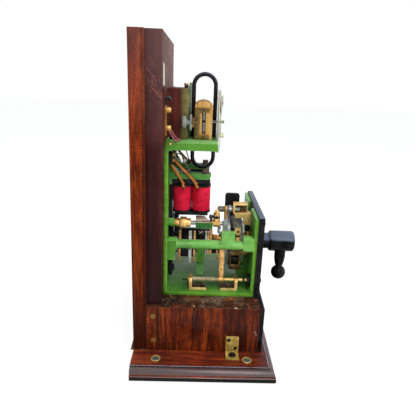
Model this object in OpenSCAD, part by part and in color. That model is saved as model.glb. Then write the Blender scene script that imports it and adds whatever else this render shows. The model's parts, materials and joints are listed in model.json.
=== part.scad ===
// Railway block instrument with its glazed cover lifted off.
// A mahogany case and a green cast frame carry a commutator turned by a drop handle,
// two lock magnets with their armature, a spring plunger and a needle indicator.
// +Z is up, the handle and the dial face -Y, and the origin is the centre of the base's underside.

/* [Base board] */
// Width across the moulding
base_w = 401; // [385:1:440]
// Depth from the plain back edge to the front of the moulding
base_d = 272; // [268:1:300]
// Thickness of the board
base_t = 26.4; // [24:0.2:32]
// How far the moulding stands out past the top edge
mould_out = 11.5; // [9:0.5:13]
// Distance of the screw cups from the sides of the case
cup_inset = 24.6; // [20:0.2:30]
// Distance between the front and rear screw cups
cup_pitch = 173.6; // [150:0.2:190]
// Radius of a screw cup
cup_r = 9.2; // [8:0.1:10]
// Radius of the fixing holes
fix_hole_r = 2.8; // [2.4:0.1:3.4]

/* [Case] */
// Width of the case
case_w = 286; // [280:1:300]
// Height of the plinth
plinth_h = 96; // [90:1:110]
// Top of the back board above the base
back_h = 579; // [560:1:600]
// Thickness of the back board
back_t = 21; // [18:0.5:24]
// Thickness of the facing in front of the back board
facing_t = 5; // [4:0.5:7]
// Thickness of the inner backboard
inner_t = 28; // [24:0.5:30]
// How far the inner backboard stands in from the sides of the case
inner_inset = 8; // [5:0.5:12]
// Thickness of the plinth sides
side_t = 18; // [14:0.5:22]
// Thickness of the plinth top
top_t = 8; // [7:0.5:12]
// Thickness of the black front board
front_t = 7; // [5:0.5:9]
// Top edge of the base in front of the black front board
front_overhang = 10; // [7:0.5:12]

/* [Frame casting] */
// Width of the casting
frame_w = 194; // [190:1:200]
// Thickness of its walls
wall_t = 6.5; // [6:0.1:8]
// Outside depth, inner backboard to the front face of the front wall
frame_d = 179.5; // [178:0.5:190]
// Height of the front wall above the plinth
front_wall_h = 163.6; // [158:0.2:170]
// Width of the notch in the top of the front wall
notch_w = 50; // [40:1:60]
// Depth of that notch
notch_d = 24; // [20:1:30]
// Top of the indicator shelf above the plinth
shelf_h = 303; // [300:0.2:306]
// Height of the back wall above the top of that shelf
back_wall_up = 4.6; // [3.6:0.2:8]
// Depth of the shelf from the front of the back wall
shelf_d = 89.5; // [89:0.5:96]
// Depth of the shelf's edge beams
shelf_beam = 13.4; // [11:0.2:16]

/* [Side bar] */
// Radius of the round bar
bar_r = 8.8; // [7:0.1:9.2]
// Height of the bar's centre line above the plinth
bar_h = 107.1; // [104:0.1:110]
// Width of the blocks at the bar's ends
bar_end_w = 18; // [16:0.5:20]

/* [Front plate and handle] */
// Thickness of the black front plate
plate_t = 8; // [6:0.5:10]
// How far the plate stands past the casting at each side
plate_over = 3; // [1:0.5:6]
// Height of the plate
plate_h = 167; // [164:0.5:175]
// Height of the shaft above the plinth
shaft_h = 83.4; // [80:0.2:86]
// Radius of the main shaft
shaft_r = 6; // [5:0.1:7]
// Radius of the handle's neck
neck_r = 17; // [14:0.5:19]
// Length of the neck
neck_l = 31; // [24:1:36]
// Radius of the handle's hub
hub_r = 22.3; // [20:0.1:25]
// Length of the hub
hub_l = 54; // [48:1:60]
// Distance from the shaft to the centre of the ball
ball_drop = 74; // [68:1:80]
// Radius of the ball
ball_r = 16; // [13:0.5:17]

/* [Commutator] */
// Radius of the drum
drum_r = 24; // [21:0.5:25]
// Length of the drum
drum_l = 72; // [68:1:74]
// Radius of the brake drum
brake_r = 52; // [46:0.5:53]
// Radius over the ratchet's teeth
ratchet_r = 50; // [44:0.5:51]
// Number of ratchet teeth
ratchet_teeth = 36; // [24:1:48]
// Thickness of the contact springs
spring_t = 0.9; // [0.6:0.1:1.2]

/* [Lock magnets] */
// Distance of the coil pairs from the middle
coil_x = 46; // [44:0.5:48]
// Radius of a coil
coil_r = 17.6; // [15:0.1:18]
// Height of a coil's winding
coil_h = 48; // [42:0.5:50]
// Distance between the two coils of a pair
coil_pitch = 37.3; // [36.8:0.1:40]
// Thickness of the coil cheeks
cheek_t = 4; // [3:0.1:5]
// Width of the iron yokes and their brackets
yoke_w = 20; // [16:0.5:22]
// Top of the magnet brackets above the plinth
bracket_h = 238.6; // [238:0.2:242]
// Distance of the rocking shaft from the middle
rocker_x = 66; // [64:0.5:68]
// Height of the rocking shaft above the plinth
rocker_h = 143.1; // [141:0.1:143.6]
// Radius of the rocking shaft
rocker_r = 4; // [3:0.1:4.5]

/* [Plunger] */
// How far the plunger stands in from the side of the casting
plunger_in = 22; // [20:0.5:25]
// Height of the plunger above the plinth
plunger_h = 26; // [24:0.5:28]
// Radius of the plunger rod
rod_r = 3.2; // [2.6:0.1:3.6]
// Travel of the plunger
plunger_travel = 10; // [8:0.5:11]
// Turns of the return spring
coils = 23; // [16:1:24]
// Wire radius of the return spring
wire_r = 0.8; // [0.6:0.05:0.85]

/* [Indicator] */
// Height of the needle's spindle above the shelf
needle_h = 30; // [28:0.2:32]
// Radius of the dial
dial_r = 61; // [56:0.5:64]
// Outside width of the magnet loop
loop_w = 50; // [48:0.5:52]
// Radius of the magnet bar
loop_bar_r = 4; // [3.2:0.1:4.4]
// Height of the loop's top above the spindle
loop_up = 92.5; // [84:0.5:96]
// Depth of the loop's bottom below the spindle
loop_down = 95.5; // [88:0.5:98]
// Width of the bobbin cheeks
bobbin_w = 33.2; // [30:0.2:36]
// Length of the pair of bobbins, side to side
bobbins_l = 90; // [84:1:94]
// Width of the wooden indicator block
block_w = 120; // [114:1:130]
// Height of the wooden indicator block
block_h = 92; // [86:1:98]

/* [Clearances] */
// Running clearance of shafts in their holes, on the radius
run_fit = 0.05; // [0.03:0.01:0.08]
// Gap between moving faces
gap = 0.3; // [0.3:0.05:0.5]

/* [Hidden] */
$fn = 48;

wood_red = "#7c2a12";
wood_dark = "#3c1512";
ebony = "#151517";
casting_green = "#4f9c32";
brass = "#c9a24f";
steel = "#8d9296";
iron = "#3a3634";
rust = "#5a4038";
coil_red = "#d01c34";
sleeve_orange = "#c06a14";
boxwood = "#dfa548";
ivory = "#ece8d6";

eps = 0.01;

// Case planes
y_back = base_d / 2;
y_facing = y_back - back_t;
y_inner = y_facing - facing_t;
y_frame = y_inner - inner_t;
y_base_front = -base_d / 2;
y_case_front = y_base_front + mould_out + front_overhang;
y_front_board = y_case_front + front_t;
x_case = case_w / 2;
x_base_top = base_w / 2 - mould_out;
z_plinth = base_t + plinth_h;
z_back_top = base_t + back_h;
inner_w = case_w - 2 * inner_inset;
sill_t = 2.6;
sill_out = 5;
cup_x = x_case + cup_inset;
cup_y0 = y_back - 45.8;
cup_y1 = cup_y0 - cup_pitch;
cup_depth = 3;
cup_fit = 0.1;
screw_y = y_inner - 12.8;
screw_z = [base_t + 23, base_t + 76];
screw_head_r = 5.2;
rail_t = 15;
catch_w = 25;
catch_y = y_base_front + 80;
catch_t = 2.4;
catch_leg = 36;
catch_foot = 26;
catch_screws = [[7, 27.7], [-6.5, 10]];

// Casting planes
x_frame = frame_w / 2;
y_bw = y_frame - wall_t;
y_front = y_frame - frame_d;
y_fw = y_front + wall_t;
z_floor = z_plinth + wall_t;
z_front_top = z_plinth + front_wall_h;
z_shelf = z_plinth + shelf_h;
z_shaft = z_plinth + shaft_h;
y_shelf = y_bw - shelf_d;
shelf_t = 6.5;
shelf_rim = 6;
shelf_front_rim = 12;
fillet_r = 5;
frame_bolt_r = 3;
frame_bolt_in = 5;

// Shaft planes, back to front
boss_l = 11.5;
y_rear_boss = y_bw - boss_l;
rear_boss_r = 14;
rear_bush_r = 9;
front_bush_r = 12;
front_boss_r = 17;
front_boss_l = 7;
y_plate = y_front - plate_t;
y_hub0 = y_plate - gap - neck_l;
y_hub1 = y_hub0 - hub_l;
y_arm = y_hub0 - 28;
z_ball = z_shaft - ball_drop;
y_drum1 = y_rear_boss - 6;
y_drum0 = y_drum1 - drum_l;
ratchet_t = 5;
y_ratchet1 = y_fw + 46;
y_ratchet0 = y_ratchet1 - ratchet_t;
brake_l = 16;
brake_rim_l = 8;
y_brake1 = y_ratchet0 - 1.5;
y_brake0 = y_brake1 - brake_l;
pedestal_y = y_fw + 19;
pedestal_w = 32;

// Contacts
post_x0 = -20;
post_w = 20;
post_y = y_drum1 - 47.5;
post_d = 16;
contact_x = -38;
contact_t = 10;
contact_z0 = z_shaft - 16.8;
contact_z1 = z_shaft + 1.2;
contact_y0 = y_drum0 - 13;
contact_y1 = y_drum1 - 1;
contact_deep = 9;
corbel_h = 8;
// Each contact: distance from the drum's rear end, width, length of tail, finger on the drum or none
contacts = [
    [4, 4.4, 22.4, 1],
    [25.5, 6.6, 24, 1],
    [34.5, 4.4, 21.5, 1],
    [58, 4.2, 2, 1],
    [62.8, 4, 2, 1],
    [68, 4.4, 2, 1],
    [82, 4, 14.3, 0]
];
contact_screw_h = 9.5;
contact_screw_r = 1.1;
segment_t = 3;

// Side bar
x_bar = -(x_frame - bar_end_w / 2);
z_bar = z_plinth + bar_h;
bar_front_l = 20;
bar_front_h = 32;
bar_barrel_r = 13;
bar_foot_drop = 30.5;
bar_block_y1 = y_fw + 62.5;
bar_block_d = 24.7;
bar_block_t = 10;
bar_block_h = 29;
bar_tongue_w = 40;
bar_tongue_z0 = z_bar + 6.5;
bar_tongue_z1 = z_bar + 16.5;
plate_lug_x = x_frame - 40;
plate_lug_w = 7;
plate_lug_l = 46;

// Lock magnets
z_bracket = z_plinth + bracket_h;
bracket_t = 10.5;
yoke_t = 10;
z_yoke0 = z_bracket - bracket_t - yoke_t;
z_wind1 = z_yoke0 - cheek_t;
z_wind0 = z_wind1 - coil_h;
coil_base_t = 10.5;
pole_out = 1.5;
core_r = 7;
coil_y = [y_bw - 25.2, y_bw - 25.2 - coil_pitch];
coil_mid = (coil_y[0] + coil_y[1]) / 2;
coil_strip_t = coil_pitch - 2 * coil_r - 0.2;
bracket_front = y_bw - 80.5;
bracket_foot = 5;
bracket_foot_h = 46;
bolt_w = 11.7;
bolt_h = 7;
board_t = 6;
board_w = 104;
board_z1 = z_bracket - bracket_t - 12;
board_z0 = z_shaft + 32;
board_tongue_x = [-52, -30];
board_tongue_t = 9;
board_tongue_z = [z_shaft - 11, z_shaft + 66];
terminal_z0 = z_shelf - 44.4;
terminal_h = 23;
lead_r = 2.5;

// Rocking shaft and armature
z_rocker = z_plinth + rocker_h;
rocker_boss_r = 8.25;
rocker_bush_l = 11;
rocker_bush_r = 8;
y_bush0 = y_rear_boss - rocker_bush_l;
collar_l = 12.5;
collar_r = 11.5;
collar2_l = 8.5;
collar2_r = 8.5;
y_collar0 = y_bush0 - gap - collar_l;
y_collar2 = y_collar0 - collar2_l;
arm_y1 = y_collar2 - 9.5;
arm_l = 33;
arm_chamfer = 15;
arm_t = 4;
arm_reach = 36;
armature_bar_h = 9;
roller_r = 10;
roller_t = 5;
lever_y = arm_y1 - arm_l - 7.5;
rocker_front = bar_block_y1 - 12;
bearing_w = 14;
bearing_d = 9;

// Pawl
pawl_x = -22;
z_pawl = z_shaft + ratchet_r + 25.7;
pawl_shaft_r = 4;
pawl_t = 5;
pawl_y = y_ratchet0 + ratchet_t / 2;
pawl_collar_l = 4;
drop_arm_t = 5;
cage_x0 = -29;
cage_w = 14;
cage_back_t = 1.5;
cage_top_y0 = y_fw + 8;
cage_y1 = y_fw + 37;
cage_t = 3.5;
cage_z0 = z_pawl - 8.3;
cage_z1 = z_pawl + 14.5;
cage_leg_y0 = y_fw + 1;
cage_leg_d = 14;
cage_leg_w = 14;
cage_leg_z = z_shaft + 45;

// Plunger
plunger_x = x_frame - plunger_in;
z_rod = z_plinth + plunger_h;
disc_r = 13;
disc_t = 6;
leg_t = 6;
leg_y = [y_bw - 43.5, y_bw - 135];
leg_w = 24;
leg_z1 = z_rod + 7;
foot_l = 35;
foot_y = [leg_y[0] - foot_l, leg_y[1] - leg_t];
foot_screw_y = [foot_y[0] + 6.5, foot_y[1] + foot_l - 17.5];
foot_t = 6;
plunger_arm_y = y_bw - 112;
plunger_arm_w = 9.5;
plunger_arm_t = 6;
plunger_arm_h = 66;
spring_r = rod_r + wire_r + 0.3;
button_r = 7;
button_out = 9;
rod_tail = 2;

// Brake roller
roller_pin_r = 2.5;
brake_roller_r = 7;
brake_roller_drop = 18;
brake_roller_x = -sqrt(pow(brake_r + gap + brake_roller_r, 2) - pow(brake_roller_drop, 2));
brake_roller_z = z_shaft - brake_roller_drop;
fork_t = 3;
fork_top = 21;
fork_bottom = 20.5;
fork_bar_h = 11;
fork_y0 = y_brake0 - fork_t - gap;
fork_y1 = y_brake1 + fork_t + gap;

// Indicator
ind_y = y_bw - 63.2;
z_needle = z_shelf + needle_h;
loop_mid = loop_w / 2 - loop_bar_r;
z_loop_top = z_needle + loop_up - loop_w / 2;
z_loop_bottom = z_needle - loop_down + loop_w / 2;
loop_gap = 2;
loop_rear_gap = 6;
cheek_ind_t = 3;
bobbin_gap = 13;
bobbin_l = (bobbins_l - bobbin_gap) / 2;
bobbin_y = ind_y + 1.1;
bobbin_h = 70.2;
bobbin_arch_r = 23;
bobbin_tube_t = 1.5;
window_y0 = ind_y - 2.9;
window_w = 7;
window_h = 42.4;
c_plate_t = 2.5;
c_plate_w = 8;
c_plate_y0 = ind_y - 9.6;
c_plate_y1 = ind_y + 16.8;
terminal_ear_t = 4.5;
terminal_ear_h = 16;
y_terminal = c_plate_y1 + 1.2;
x_terminal = -62.5;
z_terminal = z_needle + 2.5;
spindle_r = 1.5;
dial_t = 2;
y_dial = y_shelf - dial_t;
plate_ind_t = 3;
flange_d = 13.5;
flange_w = 100;
block_d = 26.5;
backing_t = 3.4;
backing_w = inner_w - 2;
y_block = y_frame - block_d;
y_clamp = ind_y + loop_w / 2 + 0.2;
clamp_w = 14;
y_plate_ind = y_block - plate_ind_t;
pointer_l = 50;
tail_l = 24;
needle_hub_l = 8.8;
inner_needle_h = 20.5;
inner_needle_w = 6;

// A cylinder along Y from y0 to y1
module ycyl(y0, y1, r)
    translate([0, y1, 0])
        rotate([90, 0, 0])
            cylinder(h = y1 - y0, r = r);

// A cone frustum along Y, radius r0 at y0 and r1 at y1
module ycone(y0, y1, r0, r1)
    translate([0, y1, 0])
        rotate([90, 0, 0])
            cylinder(h = y1 - y0, r1 = r1, r2 = r0);

// A ring along Y
module yring(y0, y1, r_out, r_in)
    difference() {
        ycyl(y0, y1, r_out);
        ycyl(y0 - 1, y1 + 1, r_in);
    }

// A cylinder along X from x0 to x1
module xcyl(x0, x1, r)
    translate([x0, 0, 0])
        rotate([0, 90, 0])
            cylinder(h = x1 - x0, r = r);

// A box given by two opposite corners
module block(a, b)
    translate(a)
        cube(b - a);

// An outline drawn in Y and Z, extruded along X
module along_x(x0, x1)
    translate([x0, 0, 0])
        rotate([90, 0, 90])
            linear_extrude(height = x1 - x0)
                children();

// An outline drawn in X and Z, extruded along Y
module along_y(y0, y1)
    translate([0, y1, 0])
        rotate([90, 0, 0])
            linear_extrude(height = y1 - y0)
                children();

// A rectangle with round corners, centred
module round_rect(w, h, r) {
    square([w - 2 * r, h], center = true);
    square([w, h - 2 * r], center = true);
    for (sx = [-1, 1], sy = [-1, 1])
        translate([sx * (w / 2 - r), sy * (h / 2 - r)])
            circle(r = r);
}

// A straight round bar between two points
module bar_between(a, b, r) {
    d = b - a;
    len = norm(d);
    translate(a)
        rotate([0, acos(d[2] / len), atan2(d[1], d[0])])
            cylinder(h = len, r = r);
}

// Mirrored copies on both sides of the middle
module both_sides() {
    children();
    mirror([1, 0, 0])
        children();
}

// Points of the moulded edge from its top to the underside, as distance out and height
function edge_points() = concat(
    [[0, base_t], [0, base_t - 2.4]],
    [for (i = [0:6]) [1.6 + (mould_out - 3.1) * sin(i * 15), 11 + (base_t - 13.4) * cos(i * 15)]],
    [[mould_out, 10]],
    [for (i = [0:4]) [mould_out - 4 + 4 * cos(i * 22.5), 4 - 4 * sin(i * 22.5)]]
);

// Case

module base_board() {
    edge = edge_points();
    n = len(edge);
    front = y_base_front + mould_out;
    right = [for (p = edge) [x_base_top + p[0], p[1]]];
    left = [for (i = [n - 1:-1:0]) [-x_base_top - edge[i][0], edge[i][1]]];
    nose = [for (i = [n - 1:-1:0]) [front - edge[i][0], edge[i][1]]];
    color(wood_red)
        difference() {
            intersection() {
                along_y(y_base_front - 1, y_back)
                    polygon(concat(right, left));
                along_x(-base_w, base_w)
                    polygon(concat([[y_back, base_t], [y_back, 0]], nose));
            }
            for (sx = [-1, 1], y = [cup_y0, cup_y1])
                translate([sx * cup_x, y, 0]) {
                    translate([0, 0, -1])
                        cylinder(h = base_t + 2, r = fix_hole_r);
                    translate([0, 0, base_t - cup_depth])
                        cylinder(h = cup_depth + 1, r = cup_r + cup_fit);
                }
        }
}

module screw_cups() {
    color(brass)
        for (sx = [-1, 1], y = [cup_y0, cup_y1])
            translate([sx * cup_x, y, base_t - cup_depth])
                rotate_extrude()
                    polygon([
                        [fix_hole_r, 0], [cup_r, 0], [cup_r, cup_depth + 0.4], [cup_r - 1, cup_depth + 1.2],
                        [cup_r - 1.9, cup_depth + 1], [fix_hole_r + 0.4, 1.2], [fix_hole_r, 1.2]
                    ]);
}

module plinth_sides() {
    color(wood_red)
        both_sides()
            difference() {
                block([-x_case, y_front_board, base_t], [-x_case + side_t, y_inner, z_plinth - top_t]);
                for (z = screw_z)
                    translate([0, screw_y, z])
                        xcyl(-x_case - 1, -x_case + side_t + 1, 2.6);
            }
}

module plinth_top() {
    color(wood_red)
        difference() {
            block([-x_case, y_front_board, z_plinth - top_t], [x_case, y_inner, z_plinth]);
            frame_bolt_places()
                translate([0, 0, z_plinth - top_t - 1])
                    cylinder(h = top_t + 2, r = frame_bolt_r);
        }
}

module plinth_front() {
    color(ebony)
        along_x(-x_case, x_case)
            polygon([
                [y_case_front, base_t], [y_front_board, base_t], [y_front_board, z_plinth + 1.5],
                [y_case_front + 1.5, z_plinth + 1.5], [y_case_front, z_plinth]
            ]);
}

module plinth_rail() {
    color(wood_dark)
        difference() {
            block([-x_case + side_t, screw_y - rail_t / 2, base_t],
                [x_case - side_t, screw_y + rail_t / 2, z_plinth - top_t]);
            for (sx = [-1, 1], z = screw_z)
                translate([sx * (x_case - side_t), screw_y, z])
                    xcyl(-14, 14, 2.6);
        }
}

module back_board() {
    color(wood_red)
        block([-x_case, y_facing, base_t + sill_t], [x_case, y_back, z_back_top]);
}

module back_facing() {
    color(wood_red)
        block([-x_case, y_inner, base_t + sill_t], [x_case, y_facing, z_back_top]);
}

module inner_backboard() {
    color(wood_dark)
        block([-inner_w / 2, y_frame, z_plinth], [inner_w / 2, y_inner, z_back_top]);
}

module back_sill_strip() {
    color(brass)
        block([-x_case - 1, y_inner, base_t], [x_case + 1, y_back + sill_out, base_t + sill_t]);
}

// Slotted screw along X with its head at x = 0 facing -X
module side_screw(r, shank_r, l) {
    difference() {
        union() {
            xcyl(-0.8, 0, r);
            xcyl(0, l, shank_r);
        }
        block([-1.2, -r - 1, -0.5], [-0.3, r + 1, 0.5]);
    }
}

module wood_screws() {
    color(brass)
        both_sides() {
            for (z = screw_z)
                translate([-x_case, screw_y, z])
                    side_screw(screw_head_r, 2.5, 28);
            for (p = catch_screws)
                translate([-x_case - catch_t, catch_y + p[0], base_t + p[1]])
                    side_screw(3.5, 2.1, catch_t);
            translate([-x_case - 13, catch_y, base_t])
                rotate_extrude()
                    polygon(concat(
                        [[0, 0], [2.9, 0], [2.9, catch_t]],
                        [for (a = [0:18:90]) [7.5 * cos(a), catch_t + 2.6 * sin(a)]]
                    ));
        }
}

// Brass angles that the cover's hooks catch
module cover_catches() {
    color(brass)
        both_sides()
            difference() {
                union() {
                    translate([-x_case - catch_t, catch_y, base_t])
                        along_x(0, catch_t)
                            union() {
                                translate([0, catch_leg / 2 + 1])
                                    round_rect(catch_w, catch_leg - 2, 3);
                                translate([-catch_w / 2, 0])
                                    square([catch_w, 12]);
                            }
                    translate([-x_case - catch_foot, catch_y - catch_w / 2, base_t])
                        cube([catch_foot, catch_w, catch_t]);
                }
                for (p = catch_screws)
                    translate([0, catch_y + p[0], base_t + p[1]])
                        xcyl(-x_case - catch_t - 1, -x_case + 1, 2.2);
                translate([-x_case - 13, catch_y, base_t - 1])
                    cylinder(h = catch_t + 2, r = 3);
            }
}

// Frame casting

// Quarter round that fills an inside corner at the origin, between +Y and +Z
module corner_fill(r)
    difference() {
        square([r, r]);
        translate([r, r])
            circle(r = r);
    }

module main_frame() {
    color(casting_green)
        difference() {
            union() {
                block([-x_frame, y_front, z_plinth], [x_frame, y_frame, z_floor]);
                block([-x_frame, y_bw, z_plinth], [x_frame, y_frame, z_shelf + back_wall_up]);
                front_wall();
                shelf();
                along_x(-x_frame, x_frame)
                    translate([y_fw, z_floor])
                        corner_fill(fillet_r);
                along_x(-x_frame, x_frame)
                    translate([y_bw, z_floor])
                        mirror([1, 0])
                            corner_fill(fillet_r);
                translate([0, 0, z_shaft])
                    ycyl(y_rear_boss, y_bw + eps, rear_boss_r);
                translate([0, 0, z_shaft])
                    ycyl(y_fw - eps, y_fw + front_boss_l, front_boss_r);
                block([-pedestal_w / 2, y_fw - eps, z_floor - eps],
                    [pedestal_w / 2, y_fw + front_boss_l, z_shaft]);
                for (sx = [-1, 1])
                    block([sx * (pedestal_w / 2 - 3) - 3, y_fw, z_floor - eps],
                        [sx * (pedestal_w / 2 - 3) + 3, pedestal_y, z_shaft - brake_r - 4]);
                contact_post();
                translate([-rocker_x, 0, z_rocker])
                    ycyl(y_rear_boss, y_bw + eps, rocker_boss_r);
            }
            translate([0, 0, z_shaft]) {
                ycyl(y_rear_boss - 1, y_bw, rear_bush_r + run_fit);
                ycyl(y_front - 1, y_fw + front_boss_l + 1, front_bush_r + run_fit);
            }
            translate([-rocker_x, 0, z_rocker])
                ycyl(y_rear_boss - 1, y_bw, rocker_r + run_fit);
            translate([-plunger_x, 0, z_rod])
                ycyl(y_front - 1, y_fw + 1, button_r + run_fit);
            magnet_leg_holes();
            frame_bolt_places()
                translate([0, 0, z_plinth - 1])
                    cylinder(h = frame_bolt_in + 1.2, r = frame_bolt_r);
        }
}

module front_wall() {
    difference() {
        block([-x_frame, y_front, z_plinth], [x_frame, y_fw, z_front_top]);
        block([-notch_w / 2, y_front - 1, z_front_top - notch_d], [notch_w / 2, y_fw + 1, z_front_top + 1]);
    }
}

// Shelf for the indicator: a plate with deeper edges
module shelf() {
    z0 = z_shelf - shelf_beam;
    difference() {
        block([-x_frame, y_shelf, z0], [x_frame, y_bw + eps, z_shelf]);
        block([-x_frame + shelf_rim, y_shelf + shelf_front_rim, z0 - 1],
            [x_frame - shelf_rim, y_bw, z_shelf - shelf_t]);
    }
    along_x(-x_frame, x_frame)
        translate([y_bw, z0])
            mirror([1, 0])
                mirror([0, 1])
                    corner_fill(fillet_r);
    along_x(-x_frame, x_frame)
        translate([y_bw, z_shelf])
            mirror([1, 0])
                corner_fill(fillet_r - 1);
}

// Clearance holes for the legs of the lower magnet
module magnet_leg_holes() {
    for (sy = [-1, 1])
        translate([0, ind_y + sy * loop_mid, z_shelf - shelf_beam - 1])
            cylinder(h = shelf_beam + 2, r = loop_bar_r + 0.2);
}

// Post on the floor with a corbel for the contact block
module contact_post() {
    z_top = z_shaft - drum_r - 3;
    block([post_x0, post_y - post_d / 2, z_floor - eps], [post_x0 + post_w, post_y + post_d / 2, z_top]);
    block([contact_x - 5, post_y - post_d / 2, z_top - corbel_h],
        [post_x0 + eps, post_y + post_d / 2, contact_z0]);
    block([contact_x - 5, post_y - post_d / 2, contact_z0 - eps],
        [contact_x, post_y + post_d / 2, contact_z1]);
}

// Round bar along the near side, with the block and tongue that carry the rocking shaft's bearing
module side_bar() {
    color(casting_green) {
        translate([x_bar, 0, z_bar])
            ycyl(y_fw + bar_front_l - 1, y_bw - bar_end_w + 1, bar_r);
        bar_rear_block();
        bar_front_boss();
        bar_block();
    }
}

module bar_rear_block() {
    intersection() {
        translate([x_bar, 0, z_bar])
            ycyl(y_bw - bar_end_w, y_bw, bar_barrel_r);
        block([-x_frame, y_bw - bar_end_w, z_bar - 20], [x_bar + 20, y_bw, z_bar + 20]);
    }
    block([-x_frame, y_bw - bar_end_w + 3, z_bar - bar_foot_drop], [-x_frame + bar_end_w, y_bw, z_bar]);
}

module bar_front_boss() {
    translate([x_bar, 0, z_bar + 3.5])
        along_y(y_fw, y_fw + bar_front_l)
            round_rect(bar_end_w, bar_front_h, 7);
}

module bar_block() {
    y0 = bar_block_y1 - bar_block_d;
    block([-x_frame, y0, z_bar], [-x_frame + bar_block_t, bar_block_y1, z_bar + bar_block_h]);
    block([-x_frame, y0, bar_tongue_z0], [-x_frame + bar_tongue_w, bar_block_y1, bar_tongue_z1]);
    along_x(-x_frame, -x_frame + bar_block_t)
        translate([bar_block_y1, z_bar + bar_r - 2])
            corner_fill(6);
}

// Bolts that come up through the plinth top into the casting's floor
module frame_bolts() {
    color(steel)
        frame_bolt_places() {
            translate([0, 0, z_plinth - top_t])
                cylinder(h = top_t + frame_bolt_in, r = frame_bolt_r - run_fit);
            translate([0, 0, z_plinth - top_t - 5])
                cylinder(h = 5, r = 7, $fn = 6);
        }
}

module frame_bolt_places() {
    for (sx = [-1, 1], y = [y_bw - 12, y_fw + 12])
        translate([sx * (x_frame - 12), y, 0])
            children();
}

module front_plate() {
    color(ebony)
        difference() {
            block([-x_frame - plate_over, y_plate, z_plinth],
                [x_frame + plate_over, y_front, z_plinth + plate_h]);
            translate([0, 0, z_shaft])
                ycyl(y_plate - 1, y_front + 1, front_bush_r + run_fit);
            translate([-plunger_x, 0, z_rod])
                ycyl(y_plate - 1, y_front + 1, button_r + run_fit + 0.2);
            plate_screw_places()
                ycyl(y_plate - 1, y_front + 1, 2.5);
        }
}

module plate_screw_places() {
    for (sx = [-1, 1], z = [z_plinth + 9, z_plinth + plate_h - 14])
        translate([sx * (x_frame - 9), 0, z])
            children();
}

module plate_screws() {
    color(brass)
        plate_screw_places()
            difference() {
                translate([0, y_plate, 0])
                    rotate([90, 0, 0])
                        rotate_extrude()
                            polygon(concat(
                                [[0, -plate_t], [2.5 - run_fit, -plate_t], [2.5 - run_fit, 0]],
                                [for (a = [0:18:90]) [6 * cos(a), 3 * sin(a)]]
                            ));
                block([-7, y_plate - 4, -0.6], [7, y_plate - 2, 0.6]);
            }
}

module bearing_bushes() {
    color(brass) {
        translate([0, 0, z_shaft]) {
            difference() {
                union() {
                    ycyl(y_plate, y_fw + front_boss_l, front_bush_r);
                    ycyl(y_fw + front_boss_l, y_fw + front_boss_l + 2.5, front_bush_r + 3);
                }
                ycyl(y_plate - 1, y_fw + front_boss_l + 4, shaft_r + run_fit);
            }
            difference() {
                union() {
                    ycyl(y_rear_boss, y_bw, rear_bush_r);
                    ycyl(y_rear_boss - 2, y_rear_boss, rear_bush_r + 3);
                }
                ycyl(y_rear_boss - 3, y_bw + 1, shaft_r + run_fit);
            }
        }
        translate([-rocker_x, 0, z_rocker])
            yring(y_bush0, y_rear_boss, rocker_bush_r, rocker_r + run_fit);
    }
}

// Shaft and handle

module main_shaft() {
    color(steel)
        translate([0, 0, z_shaft])
            ycyl(y_arm + 10, y_bw - 0.5, shaft_r);
}

module handle_hub() {
    color(ebony)
        translate([0, 0, z_shaft])
            difference() {
                union() {
                    ycyl(y_hub0, y_hub0 + neck_l, neck_r);
                    ycone(y_hub0 - 3, y_hub0, hub_r, hub_r - 2.5);
                    ycyl(y_hub1 + 3, y_hub0 - 3, hub_r);
                    ycone(y_hub1, y_hub1 + 3, hub_r - 3, hub_r);
                }
                ycyl(y_arm + 10, y_hub0 + neck_l + 1, shaft_r);
                translate([0, y_arm, -hub_r - 1])
                    cylinder(h = hub_r - 3, r = 6);
                translate([0, y_arm, -hub_r - 1])
                    cylinder(h = 4.5, r = 12.2);
            }
}

// Drop arm with its ball, screwed into the hub
module handle_arm() {
    color(ebony)
        translate([0, y_arm, z_shaft])
            rotate_extrude()
                polygon(concat(
                    [[0, -6], [5.9, -6], [5.9, -hub_r + 3.5], [11, -hub_r + 3.5], [12.5, -hub_r - 4]],
                    [[9.5, -hub_r - 10], [8.3, -hub_r - 18]],
                    [for (a = [60:-15:-75]) [ball_r * cos(a), -ball_drop + ball_r * sin(a)]],
                    [[0, -ball_drop - ball_r]]
                ));
}

// A partial ring let into the drum at one contact spring
module segment_ring(y, w, r_out, sweep, start)
    translate([0, y + w / 2, 0])
        rotate([90, 0, 0])
            rotate([0, 0, start])
                rotate_extrude(angle = sweep)
                    translate([drum_r - segment_t, 0])
                        square([r_out + segment_t - drum_r, w]);

module all_segments(r_out, trim)
    for (i = [0:len(contacts) - 1])
        if (contacts[i][3] == 1)
            segment_ring(y_drum1 - contacts[i][0], contacts[i][1], r_out, 130 - trim,
                100 + 55 * i + trim / 2);

module commutator_drum() {
    color(ebony)
        translate([0, 0, z_shaft])
            difference() {
                ycyl(y_drum0, y_drum1, drum_r);
                ycyl(y_drum0 - 1, y_drum1 + 1, shaft_r);
                all_segments(drum_r + 1, 0);
            }
}

module commutator_segments() {
    color(brass)
        translate([0, 0, z_shaft])
            all_segments(drum_r, 1);
}

// Wheel with saw teeth, made by turning one tooth's outline round the axis
module ratchet_wheel() {
    step = 360 / ratchet_teeth;
    root = ratchet_r - 3.5;
    teeth = [
        for (i = [0:ratchet_teeth - 1], k = [0, 1])
            let (a = i * step + (k == 0 ? 0 : step * 0.08), r = k == 0 ? root : ratchet_r)
                [r * cos(a), r * sin(a)]
    ];
    color(steel)
        translate([0, 0, z_shaft])
            difference() {
                along_y(y_ratchet0, y_ratchet1)
                    polygon(teeth);
                ycyl(y_ratchet0 - 1, y_ratchet1 + 1, shaft_r);
                for (a = [0:60:300])
                    rotate([0, a, 0])
                        translate([30, 0, 0])
                            ycyl(y_ratchet0 - 1, y_ratchet1 + 1, 7);
            }
}

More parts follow.
